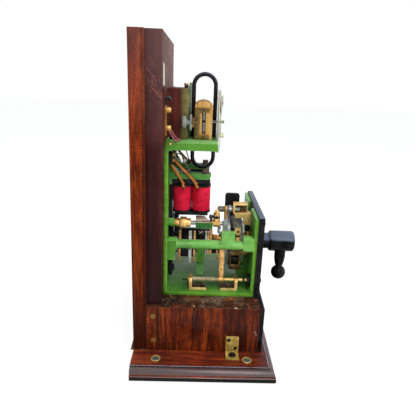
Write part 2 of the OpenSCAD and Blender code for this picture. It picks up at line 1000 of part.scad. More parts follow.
module brake_drum() {
    color(steel)
        translate([0, 0, z_shaft])
            difference() {
                union() {
                    ycyl(y_brake0, y_brake1 - 4, brake_r);
                    ycone(y_brake1 - 4, y_brake1, brake_r, brake_r - 6);
                    ycyl(y_brake0 - brake_rim_l, y_brake0 + eps, brake_r - 2);
                }
                ycyl(y_brake0 - 1, y_brake1 + 1, shaft_r);
                ycyl(y_brake0 - brake_rim_l - 1, y_brake1 - 5, brake_r - 5);
            }
    color(steel)
        translate([0, 0, z_shaft])
            yring(y_brake0, y_brake1 - 5, 14, shaft_r);
}

module shaft_collars() {
    color(brass)
        translate([0, 0, z_shaft]) {
            yring(y_drum1, y_rear_boss - 2 - gap, 11, shaft_r);
            yring(y_ratchet1, y_drum0, 10, shaft_r);
            yring(y_fw + front_boss_l + 2.5 + gap, y_brake0, 11, shaft_r);
        }
}

// Contacts

module contact_block() {
    color(ebony)
        difference() {
            union() {
                block([contact_x, contact_y0, contact_z0], [contact_x + contact_t, contact_y1, contact_z1]);
                block([contact_x, post_y + post_d / 2 + 2, contact_z0 - contact_deep],
                    [contact_x + contact_t, contact_y1, contact_z0 + eps]);
            }
            contact_screw_places()
                xcyl(contact_x - 1, contact_x + 8, contact_screw_r);
        }
}

module contact_screw_places() {
    for (c = contacts)
        translate([0, y_drum1 - c[0], contact_z0 + contact_screw_h])
            children();
}

// Each spring stands on the block's face, hangs down as a tail and leans in over the drum
module contact_spring(tail, finger) {
    tip = (drum_r + gap) * [cos(118), sin(118)] + [0, z_shaft];
    z_bend = z_shaft + drum_r + 4;
    z_end = finger == 1 ? z_bend : contact_z1;
    x0 = contact_x - spring_t;
    translate([x0, contact_z0 - tail])
        square([spring_t, z_end - contact_z0 + tail]);
    if (finger == 1)
        polygon([
            [x0, z_bend - eps], [contact_x, z_bend - eps], tip, tip + [0, spring_t],
            [contact_x, z_bend + spring_t], [x0, z_bend + 0.5]
        ]);
}

module contact_springs() {
    color(brass)
        difference() {
            for (c = contacts)
                along_y(y_drum1 - c[0] - c[1] / 2 + 0.2, y_drum1 - c[0] + c[1] / 2 - 0.2)
                    contact_spring(c[2], c[3]);
            contact_screw_places()
                xcyl(contact_x - 2, contact_x + 1, contact_screw_r);
        }
}

module cheese_head_x(r, l) {
    difference() {
        xcyl(-2, 0, r);
        block([-3, -r - 1, -0.4], [-1.3, r + 1, 0.4]);
    }
    xcyl(0, l, contact_screw_r - run_fit);
}

module mechanism_screws() {
    color(brass) {
        contact_screw_places()
            translate([contact_x - spring_t, 0, 0])
                cheese_head_x(2.1, 8);
        for (i = [0, 1])
            translate([-plunger_x, foot_screw_y[i], z_floor + foot_t])
                cylinder(h = 2.4, r = 3.6);
    }
}

// Brake roller and its fork

module brake_fork() {
    x0 = brake_roller_x - 9;
    x1 = brake_roller_x + 5;
    z0 = brake_roller_z - fork_bottom;
    z1 = brake_roller_z + fork_top;
    color(brass)
        difference() {
            union() {
                for (y = [fork_y0, fork_y1 - fork_t])
                    block([x0, y, z0], [x1, y + fork_t, z1]);
                block([x0, fork_y0, z1 - fork_bar_h], [x1 - 2.5, fork_y1, z1]);
                block([x0, fork_y0, z0], [x1 - 2.5, fork_y1, z0 + fork_bar_h - 1]);
                block([x0, y_fw, z1 - 9], [x0 + 10, fork_y0 + eps, z1]);
            }
            translate([brake_roller_x, 0, brake_roller_z])
                ycyl(fork_y0 - 1, fork_y1 + 1, roller_pin_r + run_fit);
        }
}

module brake_roller() {
    color(ebony)
        translate([brake_roller_x, 0, brake_roller_z]) {
            ycyl(fork_y0 + fork_t + gap, fork_y1 - fork_t - gap, brake_roller_r);
            ycyl(fork_y0 - 1, fork_y1 + 1, roller_pin_r);
        }
}

// Pawl and the cage that carries it

module cage_bracket() {
    x1 = cage_x0 + cage_w;
    color(brass)
        difference() {
            union() {
                block([cage_x0, cage_top_y0, cage_z1 - cage_t], [x1, cage_y1, cage_z1]);
                block([x1 - cage_back_t, cage_top_y0, cage_z0], [x1, cage_y1, cage_z1]);
                block([cage_x0, y_fw, cage_z0], [x1, cage_y1, cage_z0 + cage_t]);
                block([cage_x0, cage_y1 - cage_t, cage_z0], [x1, cage_y1, cage_z1]);
                block([cage_x0, cage_leg_y0 + cage_leg_d, cage_z0 - 8], [x1, cage_y1 - 4, cage_z0 + eps]);
                block([cage_x0, cage_leg_y0, cage_leg_z],
                    [cage_x0 + cage_leg_w, cage_leg_y0 + cage_leg_d, cage_z0 + eps]);
            }
            translate([pawl_x, 0, z_pawl])
                ycyl(cage_y1 - cage_t - 1, cage_y1 + 1, pawl_shaft_r + run_fit);
        }
}

// Stud and nut under the cage's leg, on a brass block that sits on the front boss
module cage_post() {
    x = cage_x0 + cage_leg_w / 2;
    color(brass)
        block([x - 6, y_fw, z_shaft + front_boss_r], [8, y_fw + front_boss_l - 0.5, z_shaft + 30]);
    color(iron)
        translate([x, cage_leg_y0 + 4.5, z_shaft + 30])
            cylinder(h = cage_leg_z - z_shaft - 30, r = 5.2);
}

module pawl_shaft() {
    y0 = pawl_y + pawl_t / 2;
    y1 = y0 + pawl_collar_l + drop_arm_t;
    color(steel)
        translate([pawl_x, 0, z_pawl]) {
            ycyl(cage_y1 - cage_t - 10, y1 + 14, pawl_shaft_r);
            ycyl(cage_y1 + gap, pawl_y - pawl_t / 2, pawl_shaft_r + 2);
            ycyl(y0, y0 + pawl_collar_l, pawl_shaft_r + 3);
            ycyl(y1, y1 + 13, pawl_shaft_r + 2);
        }
}

// Pawl standing on a tooth of the ratchet
module pawl() {
    tip_a = 95;
    tip_r = ratchet_r + gap;
    tip_x = tip_r * cos(tip_a);
    tip_z = z_shaft + tip_r * sin(tip_a);
    color(steel)
        difference() {
            union() {
                translate([pawl_x, 0, z_pawl])
                    ycyl(pawl_y - pawl_t / 2, pawl_y + pawl_t / 2, pawl_shaft_r + 4);
                along_y(pawl_y - pawl_t / 2, pawl_y + pawl_t / 2)
                    polygon([
                        [pawl_x - 1, z_pawl - 6.5], [pawl_x + 6.5, z_pawl + 1], [tip_x + 3, tip_z + 6],
                        [tip_x + 1, tip_z], [tip_x - 3, tip_z + 0.6], [tip_x - 7, tip_z + 8]
                    ]);
            }
            translate([pawl_x, 0, z_pawl])
                ycyl(pawl_y - pawl_t, pawl_y + pawl_t, pawl_shaft_r);
        }
}

module drop_arm() {
    y0 = pawl_y + pawl_t / 2 + pawl_collar_l;
    color(brass)
        difference() {
            along_y(y0, y0 + drop_arm_t)
                translate([pawl_x, z_pawl - 8])
                    round_rect(13, 29, 5);
            translate([pawl_x, 0, z_pawl])
                ycyl(y0 - 1, y0 + drop_arm_t + 1, pawl_shaft_r);
        }
}

// Ebonite plate on the far side, with the cast lug that carries it off the front wall
module ebonite_plate() {
    color(casting_green)
        block([plate_lug_x, y_fw, z_bar + 10.5],
            [plate_lug_x + plate_lug_w, y_fw + plate_lug_l, z_bar + 22.5]);
    color(ebony)
        along_x(plate_lug_x - 6, plate_lug_x)
            translate([y_fw + 33, z_bar + 36])
                round_rect(32, 60, 6);
}

// Lock magnets

module magnet_brackets() {
    color(casting_green)
        both_sides()
            difference() {
                along_x(-coil_x - yoke_w / 2, -coil_x + yoke_w / 2)
                    polygon([
                        [y_bw, z_bracket + 24], [y_bw - bracket_foot, z_bracket + 24],
                        [y_bw - bracket_foot, z_bracket + 13], [y_bw - 20, z_bracket],
                        [bracket_front + 1, z_bracket], [bracket_front, z_bracket - 1],
                        [bracket_front + 2.5, z_bracket - bracket_t],
                        [y_bw - bracket_foot, z_bracket - bracket_t],
                        [y_bw - bracket_foot, z_bracket - bracket_foot_h + 24],
                        [y_bw, z_bracket - bracket_foot_h + 24]
                    ]);
                for (y = bolt_y)
                    translate([-coil_x, y, z_bracket - bracket_t - 1])
                        cylinder(h = bracket_t + 2, r = 3);
            }
}

bolt_y = [y_bw - 34.5, y_bw - 70.2];

module yoke_bolts() {
    color(rust)
        both_sides()
            for (y = bolt_y)
                translate([-coil_x, y, z_bracket]) {
                    translate([-bolt_w / 2, -bolt_w / 2, 1])
                        cube([bolt_w, bolt_w, bolt_h]);
                    cylinder(h = 1, r = 8);
                    translate([0, 0, -bracket_t])
                        cylinder(h = bracket_t + 1, r = 3 - run_fit);
                }
}

// Iron yoke with its two cores
module magnet_irons() {
    color(iron)
        both_sides() {
            block([-coil_x - yoke_w / 2, bracket_front + 1.5, z_yoke0],
                [-coil_x + yoke_w / 2, y_bw - bracket_foot - 1.5, z_yoke0 + yoke_t]);
            for (y = coil_y)
                translate([-coil_x, y, z_wind0 - coil_base_t - pole_out])
                    cylinder(h = z_yoke0 - z_wind0 + coil_base_t + pole_out + eps, r = core_r);
        }
}

module coil_cheeks() {
    color(ebony)
        both_sides()
            difference() {
                union() {
                    for (y = coil_y)
                        translate([-coil_x, y, 0]) {
                            translate([0, 0, z_wind1])
                                cylinder(h = cheek_t - 0.5, r = coil_r + 1);
                            translate([0, 0, z_wind0 - cheek_t])
                                cylinder(h = cheek_t, r = coil_r + 1);
                        }
                    block([-coil_x - yoke_w / 2, coil_y[1] - 14, z_wind0 - coil_base_t],
                        [-coil_x + yoke_w / 2, coil_y[0] + 14, z_wind0 - cheek_t + eps]);
                    block([-coil_x - 3, coil_mid - coil_strip_t / 2, z_wind0 - eps],
                        [-coil_x + 3, coil_mid + coil_strip_t / 2, z_wind1 + eps]);
                }
                for (y = coil_y)
                    translate([-coil_x, y, z_wind0 - coil_base_t - 1])
                        cylinder(h = coil_h + 40, r = core_r);
            }
}

module coil_windings() {
    color(coil_red)
        both_sides()
            for (y = coil_y)
                translate([-coil_x, y, z_wind0])
                    difference() {
                        cylinder(h = coil_h, r = coil_r);
                        translate([0, 0, -1])
                            cylinder(h = coil_h + 2, r = core_r);
                    }
}

// Sleeved leads from the terminal blocks down to the top cheek of each coil
module coil_leads() {
    z_cheek = z_wind1 + cheek_t - 0.5;
    x1 = -coil_x - 14.5;
    color(sleeve_orange)
        both_sides() {
            bar_between([-coil_x - 17.5, y_bw - 4, terminal_z0 - 1.4],
                [x1, coil_y[0] - 2.8, z_cheek + 1.4], lead_r);
            bar_between([-coil_x - 14, y_bw - 9.1, terminal_z0 + 7],
                [x1, coil_y[1] + 9, z_cheek + 1.9], lead_r);
        }
}

// Ebonite board behind the coils and a terminal block above each pair
module coil_board() {
    color(ebony) {
        block([-board_w / 2, y_bw - board_t, board_z0], [board_w / 2, y_bw, board_z1]);
        block([board_tongue_x[0], y_bw - board_tongue_t, board_tongue_z[0]],
            [board_tongue_x[1], y_bw, board_tongue_z[1]]);
        both_sides()
            block([-coil_x - 24, y_bw - 7, terminal_z0], [-coil_x - 11, y_bw, terminal_z0 + terminal_h]);
    }
}

// Rocking shaft and armature

module rocking_shaft() {
    color(steel)
        translate([-rocker_x, 0, z_rocker])
            ycyl(rocker_front, y_bw - 0.5, rocker_r);
}

module rocker_collars() {
    color(brass)
        translate([-rocker_x, 0, z_rocker]) {
            yring(y_collar0, y_bush0 - gap, collar_r, rocker_r);
            yring(y_collar2, y_collar0, collar2_r, rocker_r);
        }
}

// Soft iron plate on a cast bar that clasps the shaft
module armature() {
    y0 = arm_y1 - arm_l;
    color(casting_green)
        difference() {
            translate([-rocker_x, 0, z_rocker])
                block([-7, y0, -armature_bar_h], [8, arm_y1, -arm_t / 2 + 1]);
            translate([-rocker_x, 0, z_rocker])
                ycyl(y0 - 1, arm_y1 + 1, rocker_r);
        }
    color(rust)
        difference() {
            translate([-rocker_x, 0, z_rocker - arm_t / 2 + 1])
                linear_extrude(height = arm_t)
                    polygon([
                        [-7, arm_y1], [arm_reach, arm_y1], [arm_reach, y0 + arm_chamfer],
                        [arm_reach - 14, y0 + arm_chamfer - 4], [-7, y0]
                    ]);
            translate([-rocker_x, 0, z_rocker])
                ycyl(y0 - 1, arm_y1 + 1, rocker_r);
        }
}

// Brass pillar at the front of the shaft, with the roller arm below it
module lock_lever() {
    y = lever_y;
    translate([-rocker_x, 0, z_rocker]) {
        color(brass)
            difference() {
                union() {
                    translate([0, y, 5])
                        cylinder(h = 16, r = 6.5);
                    translate([0, y, 21])
                        cylinder(h = 2.5, r1 = 6.5, r2 = 3.5);
                    ycyl(y - 6.5, y + 6.5, rocker_r + 3);
                    block([-7, y - 7, arm_t / 2 + 1], [7, y + 13, arm_t / 2 + 3.4]);
                }
                ycyl(y - 8, y + 14, rocker_r);
                translate([0, y, 14])
                    xcyl(-8, 8, 3);
            }
        color(steel) {
            difference() {
                translate([0, 0, -16])
                    ycyl(y - 9.5, y - 9.5 + roller_t - 2, roller_r);
                translate([0, 0, -16])
                    ycyl(y - 12, y, 2.5);
            }
            difference() {
                along_y(y - 6.5 + eps, y - 3)
                    translate([0, -9])
                        round_rect(8, 22, 3.9);
                ycyl(y - 8, y, rocker_r + 2.9);
            }
            translate([0, 0, -16])
                ycyl(y - 9.8, y - 4, 2.5);
        }
    }
}

// Steel pedestal on the bar's tongue that holds the shaft's front end
module rocker_bearing() {
    y1 = bar_block_y1 - 3;
    color(steel)
        difference() {
            union() {
                block([-rocker_x - bearing_w / 2, y1 - bearing_d, bar_tongue_z1],
                    [-rocker_x + bearing_w / 2, y1, z_rocker]);
                translate([-rocker_x, 0, z_rocker])
                    ycyl(y1 - bearing_d, y1, bearing_w / 2);
            }
            translate([-rocker_x, 0, z_rocker])
                ycyl(y1 - bearing_d - 1, y1 + 1, rocker_r + run_fit);
        }
}

// Plunger

module plunger_rod() {
    y_disc = y_fw + gap;
    color(brass)
        translate([-plunger_x, 0, z_rod]) {
            difference() {
                ycyl(y_disc, leg_y[0] + rod_tail, rod_r);
                translate([0, y_disc + disc_t + 7, -5])
                    cylinder(h = 10, r = 1.1);
            }
            ycone(leg_y[0] + rod_tail, leg_y[0] + rod_tail + 1.5, rod_r, rod_r - 1.5);
        }
    color(ebony)
        translate([-plunger_x, 0, z_rod]) {
            yring(y_disc, y_disc + disc_t, disc_r, rod_r);
            ycyl(y_plate - button_out + 3, y_disc, button_r);
            intersection() {
                translate([0, y_plate - button_out + 8, 0])
                    sphere(r = button_r + 1.5);
                ycyl(y_plate - button_out - 2, y_plate - button_out + 3, button_r);
            }
        }
}

module plunger_arm() {
    color(brass)
        translate([-plunger_x, 0, z_rod])
            difference() {
                union() {
                    block([-plunger_arm_t / 2, plunger_arm_y, -5.5],
                        [plunger_arm_t / 2, plunger_arm_y + plunger_arm_w, plunger_arm_h]);
                    ycyl(plunger_arm_y, plunger_arm_y + plunger_arm_w, rod_r + 2.4);
                }
                ycyl(plunger_arm_y - 1, plunger_arm_y + plunger_arm_w + 1, rod_r);
            }
}

spring_y0 = plunger_arm_y + plunger_arm_w + 0.3;
spring_y1 = leg_y[0] - leg_t - 0.3;
spring_pitch = (spring_y1 - spring_y0 - 2 * wire_r) / coils;
echo(gap_between_turns = spring_pitch - 2 * wire_r);

// Points round the wire's outline at each of eight places in a turn
function spring_ring(i) =
    let (a = i * 45, y = spring_y0 + wire_r + spring_pitch * i / 8)
        [for (k = [0:5]) let (r = spring_r + wire_r * cos(k * 60))
            [r * cos(a), y + wire_r * sin(k * 60), r * sin(a)]];

module plunger_spring() {
    rings = coils * 8 + 1;
    pts = [for (i = [0:rings - 1]) each spring_ring(i)];
    sides = [for (i = [0:rings - 2], k = [0:5])
        let (a = 6 * i + k, b = 6 * i + (k + 1) % 6)
            each [[a, b, b + 6], [a, b + 6, a + 6]]];
    first = [for (k = [1:4]) [0, k + 1, k]];
    last = [for (k = [1:4]) [6 * (rings - 1), 6 * (rings - 1) + k, 6 * (rings - 1) + k + 1]];
    color(steel)
        translate([-plunger_x, 0, z_rod])
            polyhedron(points = pts, faces = concat(sides, first, last));
}

// Two brass angles on the floor; the rod slides in their upright legs
module plunger_brackets() {
    color(brass)
        for (i = [0, 1])
            difference() {
                union() {
                    translate([-plunger_x - leg_w / 2, leg_y[i] - leg_t, z_floor])
                        cube([leg_w, leg_t, leg_z1 - z_floor - 8]);
                    along_y(leg_y[i] - leg_t, leg_y[i])
                        translate([-plunger_x, leg_z1 - 8])
                            round_rect(leg_w, 16, 7);
                    translate([-plunger_x - leg_w / 2, foot_y[i], z_floor])
                        cube([leg_w, foot_l, foot_t]);
                }
                translate([-plunger_x, 0, z_rod])
                    ycyl(leg_y[i] - foot_l, leg_y[i] + foot_l, rod_r + run_fit);
            }
}

// Indicator

// Block and its wide backing, with a strip of two terminals near one end
module indicator_block() {
    y_backing = y_frame - backing_t;
    z0 = z_shelf + back_wall_up;
    color(wood_dark) {
        difference() {
            block([-block_w / 2, y_block, z_shelf], [block_w / 2, y_frame, z_shelf + block_h]);
            block([-block_w, y_bw - fillet_r, z_shelf - 1], [block_w, y_frame + 1, z0]);
        }
        block([-backing_w / 2, y_backing, z0], [backing_w / 2, y_frame, z_shelf + block_h]);
    }
    color(brass) {
        block([-122, y_backing - 2, z0 + 10], [-112, y_backing, z0 + 60]);
        for (z = [z0 + 23, z0 + 53])
            translate([-118, 0, z])
                ycyl(y_backing - 9.7, y_backing - 2 + eps, 4.7);
    }
}

// Brass tray screwed to the block's face, with the clamp bar for the magnets
module indicator_tray() {
    z1 = z_shelf + block_h;
    color(brass) {
        block([-flange_w / 2, y_plate_ind, z_shelf], [flange_w / 2, y_block, z1]);
        for (sx = [-1, 1])
            block([sx * (flange_w / 2 - 1.5) - 1.5, y_plate_ind - flange_d + plate_ind_t, z_shelf],
                [sx * (flange_w / 2 - 1.5) + 1.5, y_plate_ind + eps, z1]);
        block([-flange_w / 2, y_plate_ind - flange_d + plate_ind_t, z1 - 3],
            [flange_w / 2, y_plate_ind + eps, z1]);
        translate([0, y_plate_ind - 4, z1 - eps]) {
            cylinder(h = 5, r = 3.5);
            translate([0, 0, 4.5])
                cylinder(h = 4, r = 4.2);
        }
    }
    color(steel)
        difference() {
            block([-clamp_w / 2, y_clamp, z_shelf],
                [clamp_w / 2, y_plate_ind - flange_d + plate_ind_t, z1 + 10]);
            translate([0, 0, z_needle])
                ycyl(y_clamp - 1, y_clamp + 20, 4 + run_fit);
        }
}

// One half of the loop: a round bar bent to a U, legs towards the spindle
module magnet_half(z_turn, front_end, rear_end) {
    up = front_end < z_turn;
    translate([0, ind_y - loop_mid, min(z_turn, front_end)])
        cylinder(h = abs(z_turn - front_end), r = loop_bar_r);
    translate([0, ind_y + loop_mid, min(z_turn, rear_end)])
        cylinder(h = abs(z_turn - rear_end), r = loop_bar_r);
    translate([0, ind_y, z_turn])
        rotate([0, 90, 0])
            rotate([0, 0, up ? 90 : -90])
                rotate_extrude(angle = 180)
                    translate([loop_mid, 0])
                        circle(r = loop_bar_r);
}

module polar_magnets() {
    color(ebony) {
        magnet_half(z_loop_top, z_needle + loop_gap, z_needle + loop_rear_gap);
        magnet_half(z_loop_bottom, z_needle - loop_gap, z_needle - loop_rear_gap);
    }
}

// Outline of a bobbin cheek with its low arched top, drawn in Y and Z
module arch(w, h)
    translate([bobbin_y, z_shelf]) {
        translate([-w / 2, 0])
            square([w, h - bobbin_arch_r + sqrt(pow(bobbin_arch_r, 2) - w * w / 4)]);
        intersection() {
            translate([0, h - bobbin_arch_r])
                circle(r = bobbin_arch_r);
            translate([-w / 2, h - bobbin_arch_r])
                square([w, bobbin_arch_r + 1]);
        }
    }

module bobbin_window(margin)
    translate([window_y0 - margin, z_needle - window_h / 2 - margin])
        square([window_w + 2 * margin, window_h + 2 * margin]);

// The near end is open to view; the far end's cheek has no window
module indicator_bobbins() {
    xc = [-bobbins_l / 2, -bobbins_l / 2 + bobbin_l - cheek_ind_t, bobbins_l / 2 - bobbin_l];
    color(boxwood) {
        for (x = xc)
            along_x(x, x + cheek_ind_t)
                difference() {
                    arch(bobbin_w, bobbin_h);
                    bobbin_window(0);
                }
        along_x(bobbins_l / 2 - cheek_ind_t, bobbins_l / 2)
            arch(bobbin_w, bobbin_h);
        both_sides()
            along_x(-bobbins_l / 2 + cheek_ind_t - eps, -bobbins_l / 2 + bobbin_l - cheek_ind_t + eps)
                difference() {
                    bobbin_window(bobbin_tube_t);
                    bobbin_window(0);
                }
    }
    color(iron)
        both_sides()
            along_x(-bobbins_l / 2 + cheek_ind_t, -bobbins_l / 2 + bobbin_l - cheek_ind_t)
                difference() {
                    translate([0, 1])
                        arch(bobbin_w - 2, bobbin_h - 2);
                    bobbin_window(bobbin_tube_t);
                }
    terminal_plate();
    terminal_screw();
}

// Plate round three sides of each outer window; the near one has an ear for the terminal screw
module terminal_plate() {
    x = -bobbins_l / 2 - c_plate_t;
    color(brass) {
        both_sides()
            along_x(x, x + c_plate_t)
                difference() {
                    translate([c_plate_y0, z_needle - window_h / 2 - c_plate_w + 1])
                        square([c_plate_y1 - c_plate_y0, window_h + 2 * c_plate_w - 2]);
                    translate([c_plate_y0 - 1, z_needle - window_h / 2])
                        square([c_plate_y1 - c_plate_w - c_plate_y0 + 1, window_h]);
                }
        difference() {
            union() {
                block([x, c_plate_y1 - eps, z_terminal - terminal_ear_h / 2],
                    [x + c_plate_t, y_terminal + terminal_ear_t, z_terminal + terminal_ear_h / 2]);
                block([x_terminal - 6, y_terminal, z_terminal - terminal_ear_h / 2],
                    [x + eps, y_terminal + terminal_ear_t, z_terminal + terminal_ear_h / 2]);
            }
            translate([x_terminal, 0, z_terminal])
                ycyl(y_terminal - 1, y_terminal + terminal_ear_t + 1, 2.3);
        }
    }
}

// Milled screw and its flat clamping nut
module terminal_screw() {
    y0 = y_terminal + terminal_ear_t;
    color(steel)
        translate([x_terminal, 0, z_terminal]) {
            ycyl(y_terminal - 6, y0 + 1, 2.3);
            along_y(y0, y0 + 3.8)
                round_rect(11, 29.6, 5.4);
            ycyl(y0 + 3, y0 + 12, 4.5);
            ycone(y0 + 8, y0 + 11.2, 5, 9);
            ycyl(y0 + 11, y0 + 17, 11.2);
        }
}

module needle() {
    color(steel)
        translate([0, 0, z_needle]) {
            ycyl(y_dial - 10, ind_y + 16, spindle_r);
            ycyl(ind_y - 3.5, ind_y + 3.5, 3.5);
            along_y(ind_y - 2, ind_y + 2)
                round_rect(inner_needle_w, 2 * inner_needle_h, 2);
            ycyl(y_dial - 3 - needle_hub_l, y_dial - 1.2, 2.9);
            along_y(y_dial - 5.2, y_dial - 3.8)
                polygon([[-2.6, -tail_l], [2.6, -tail_l], [1.6, 4], [0, pointer_l], [-1.6, 4]]);
        }
}

// Milled rear pivot screw, threaded through the clamp bar
module pivot_screw() {
    color(steel)
        translate([0, 0, z_needle]) {
            ycyl(ind_y + 19, y_clamp + 5, 4);
            ycyl(y_clamp + 5, y_clamp + 12, 4);
            ycone(y_clamp + 7, y_clamp + 10, 5, 10);
            ycyl(y_clamp + 10, y_clamp + 12.5, 12);
            difference() {
                ycyl(ind_y + 13, ind_y + 19, 3);
                ycyl(ind_y + 12, ind_y + 18, spindle_r + run_fit);
            }
        }
}

module dial() {
    color(ivory)
        difference() {
            union() {
                translate([0, 0, z_needle])
                    ycyl(y_dial, y_shelf, dial_r);
                for (sx = [-1, 1])
                    translate([sx * 14, 0, z_needle - 26])
                        ycyl(y_dial - 3 - needle_hub_l, y_dial + eps, 3);
            }
            translate([0, 0, z_needle])
                ycyl(y_dial - 1, y_shelf + 1, spindle_r + run_fit);
        }
}

base_board();
plinth_sides();
plinth_top();
plinth_front();
plinth_rail();
back_board();
back_facing();
inner_backboard();
back_sill_strip();
screw_cups();
wood_screws();
cover_catches();
main_frame();
side_bar();
frame_bolts();
front_plate();
plate_screws();
bearing_bushes();
main_shaft();
handle_hub();
handle_arm();
commutator_drum();
commutator_segments();
ratchet_wheel();
brake_drum();
shaft_collars();
contact_block();
contact_springs();
mechanism_screws();
brake_fork();
brake_roller();
cage_bracket();
cage_post();
pawl_shaft();
pawl();
drop_arm();
ebonite_plate();
magnet_brackets();
yoke_bolts();
magnet_irons();
coil_cheeks();
coil_windings();
coil_leads();
coil_board();
rocking_shaft();
rocker_collars();
armature();
lock_lever();
rocker_bearing();
plunger_rod();
plunger_arm();
plunger_spring();
plunger_brackets();
indicator_block();
indicator_tray();
polar_magnets();
indicator_bobbins();
needle();
pivot_screw();
dial();
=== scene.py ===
"""Railway block instrument: the looks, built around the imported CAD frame. Lengths are in metres, or in
millimetres where a docstring says so."""

import json
import math

import bmesh
import bpy
from mathutils import Matrix, Vector


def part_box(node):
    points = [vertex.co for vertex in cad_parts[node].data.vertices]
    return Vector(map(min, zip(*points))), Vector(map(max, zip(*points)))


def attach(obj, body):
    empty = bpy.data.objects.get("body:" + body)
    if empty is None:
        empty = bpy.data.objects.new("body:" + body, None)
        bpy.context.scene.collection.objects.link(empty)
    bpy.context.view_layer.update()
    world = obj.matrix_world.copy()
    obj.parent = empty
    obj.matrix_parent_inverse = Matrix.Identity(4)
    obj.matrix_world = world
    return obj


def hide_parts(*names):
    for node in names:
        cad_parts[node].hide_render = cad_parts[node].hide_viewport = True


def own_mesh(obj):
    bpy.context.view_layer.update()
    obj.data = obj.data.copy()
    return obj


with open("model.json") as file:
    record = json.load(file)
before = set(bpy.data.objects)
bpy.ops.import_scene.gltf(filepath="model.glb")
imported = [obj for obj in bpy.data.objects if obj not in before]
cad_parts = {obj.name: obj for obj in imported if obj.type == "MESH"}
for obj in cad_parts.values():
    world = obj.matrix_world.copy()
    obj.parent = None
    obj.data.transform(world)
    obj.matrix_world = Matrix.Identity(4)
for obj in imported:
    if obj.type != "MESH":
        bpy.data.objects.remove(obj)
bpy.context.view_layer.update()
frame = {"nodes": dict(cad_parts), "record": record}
NODES = frame["nodes"]
BODY = {node: body for body, members in frame["record"]["behaviour"]["bodies"].items() for node in members}

MM = 0.001
LOOKS = {}


# Colours and material graphs


def shader_colour(display):
    """A colour given as three display values of 0 to 255, made linear for a shader."""
    shares = [value / 255 for value in display]
    return (*(v / 12.92 if v <= 0.04045 else ((v + 0.055) / 1.055) ** 2.4 for v in shares), 1.0)


class Nodes:
    """Short calls that make and join the nodes of a tree."""

    def __init__(self, tree):
        self.tree = tree
        tree.nodes.clear()

    def join(self, value, socket):
        """Links an output to a socket, or writes a number, a list of numbers or a display colour on it."""
        if isinstance(value, bpy.types.NodeSocket):
            self.tree.links.new(value, socket)
        else:
            socket.default_value = shader_colour(value) if isinstance(value, tuple) else value

    def node(self, kind, inputs=(), **settings):
        """A new node. Its inputs are given in their order, or by name in a dictionary."""
        made = self.tree.nodes.new(kind)
        for name, value in settings.items():
            setattr(made, name, value)
        for key, value in inputs.items() if isinstance(inputs, dict) else enumerate(inputs):
            self.join(value, made.inputs[key])
        return made

    def math(self, kind, a, b=0):
        return self.node("ShaderNodeMath", (a, b), operation=kind).outputs["Value"]

    def glow_seen_directly(self, kind, seen, lit, lit_colour):
        """Plain white for camera, glossy and transmission rays, mixed with a softer light for the rest."""
        rays = self.node("ShaderNodeLightPath").outputs
        mirrored = self.math("MAXIMUM", rays["Is Glossy Ray"], rays["Is Transmission Ray"])
        direct = self.math("MAXIMUM", rays["Is Camera Ray"], mirrored)
        white = self.node(kind, {"Color": [1, 1, 1, 1], "Strength": seen})
        soft = self.node(kind, {"Color": [*lit_colour, 1], "Strength": lit})
        return self.node("ShaderNodeMixShader", (direct, soft.outputs[0], white.outputs[0])).outputs[0]


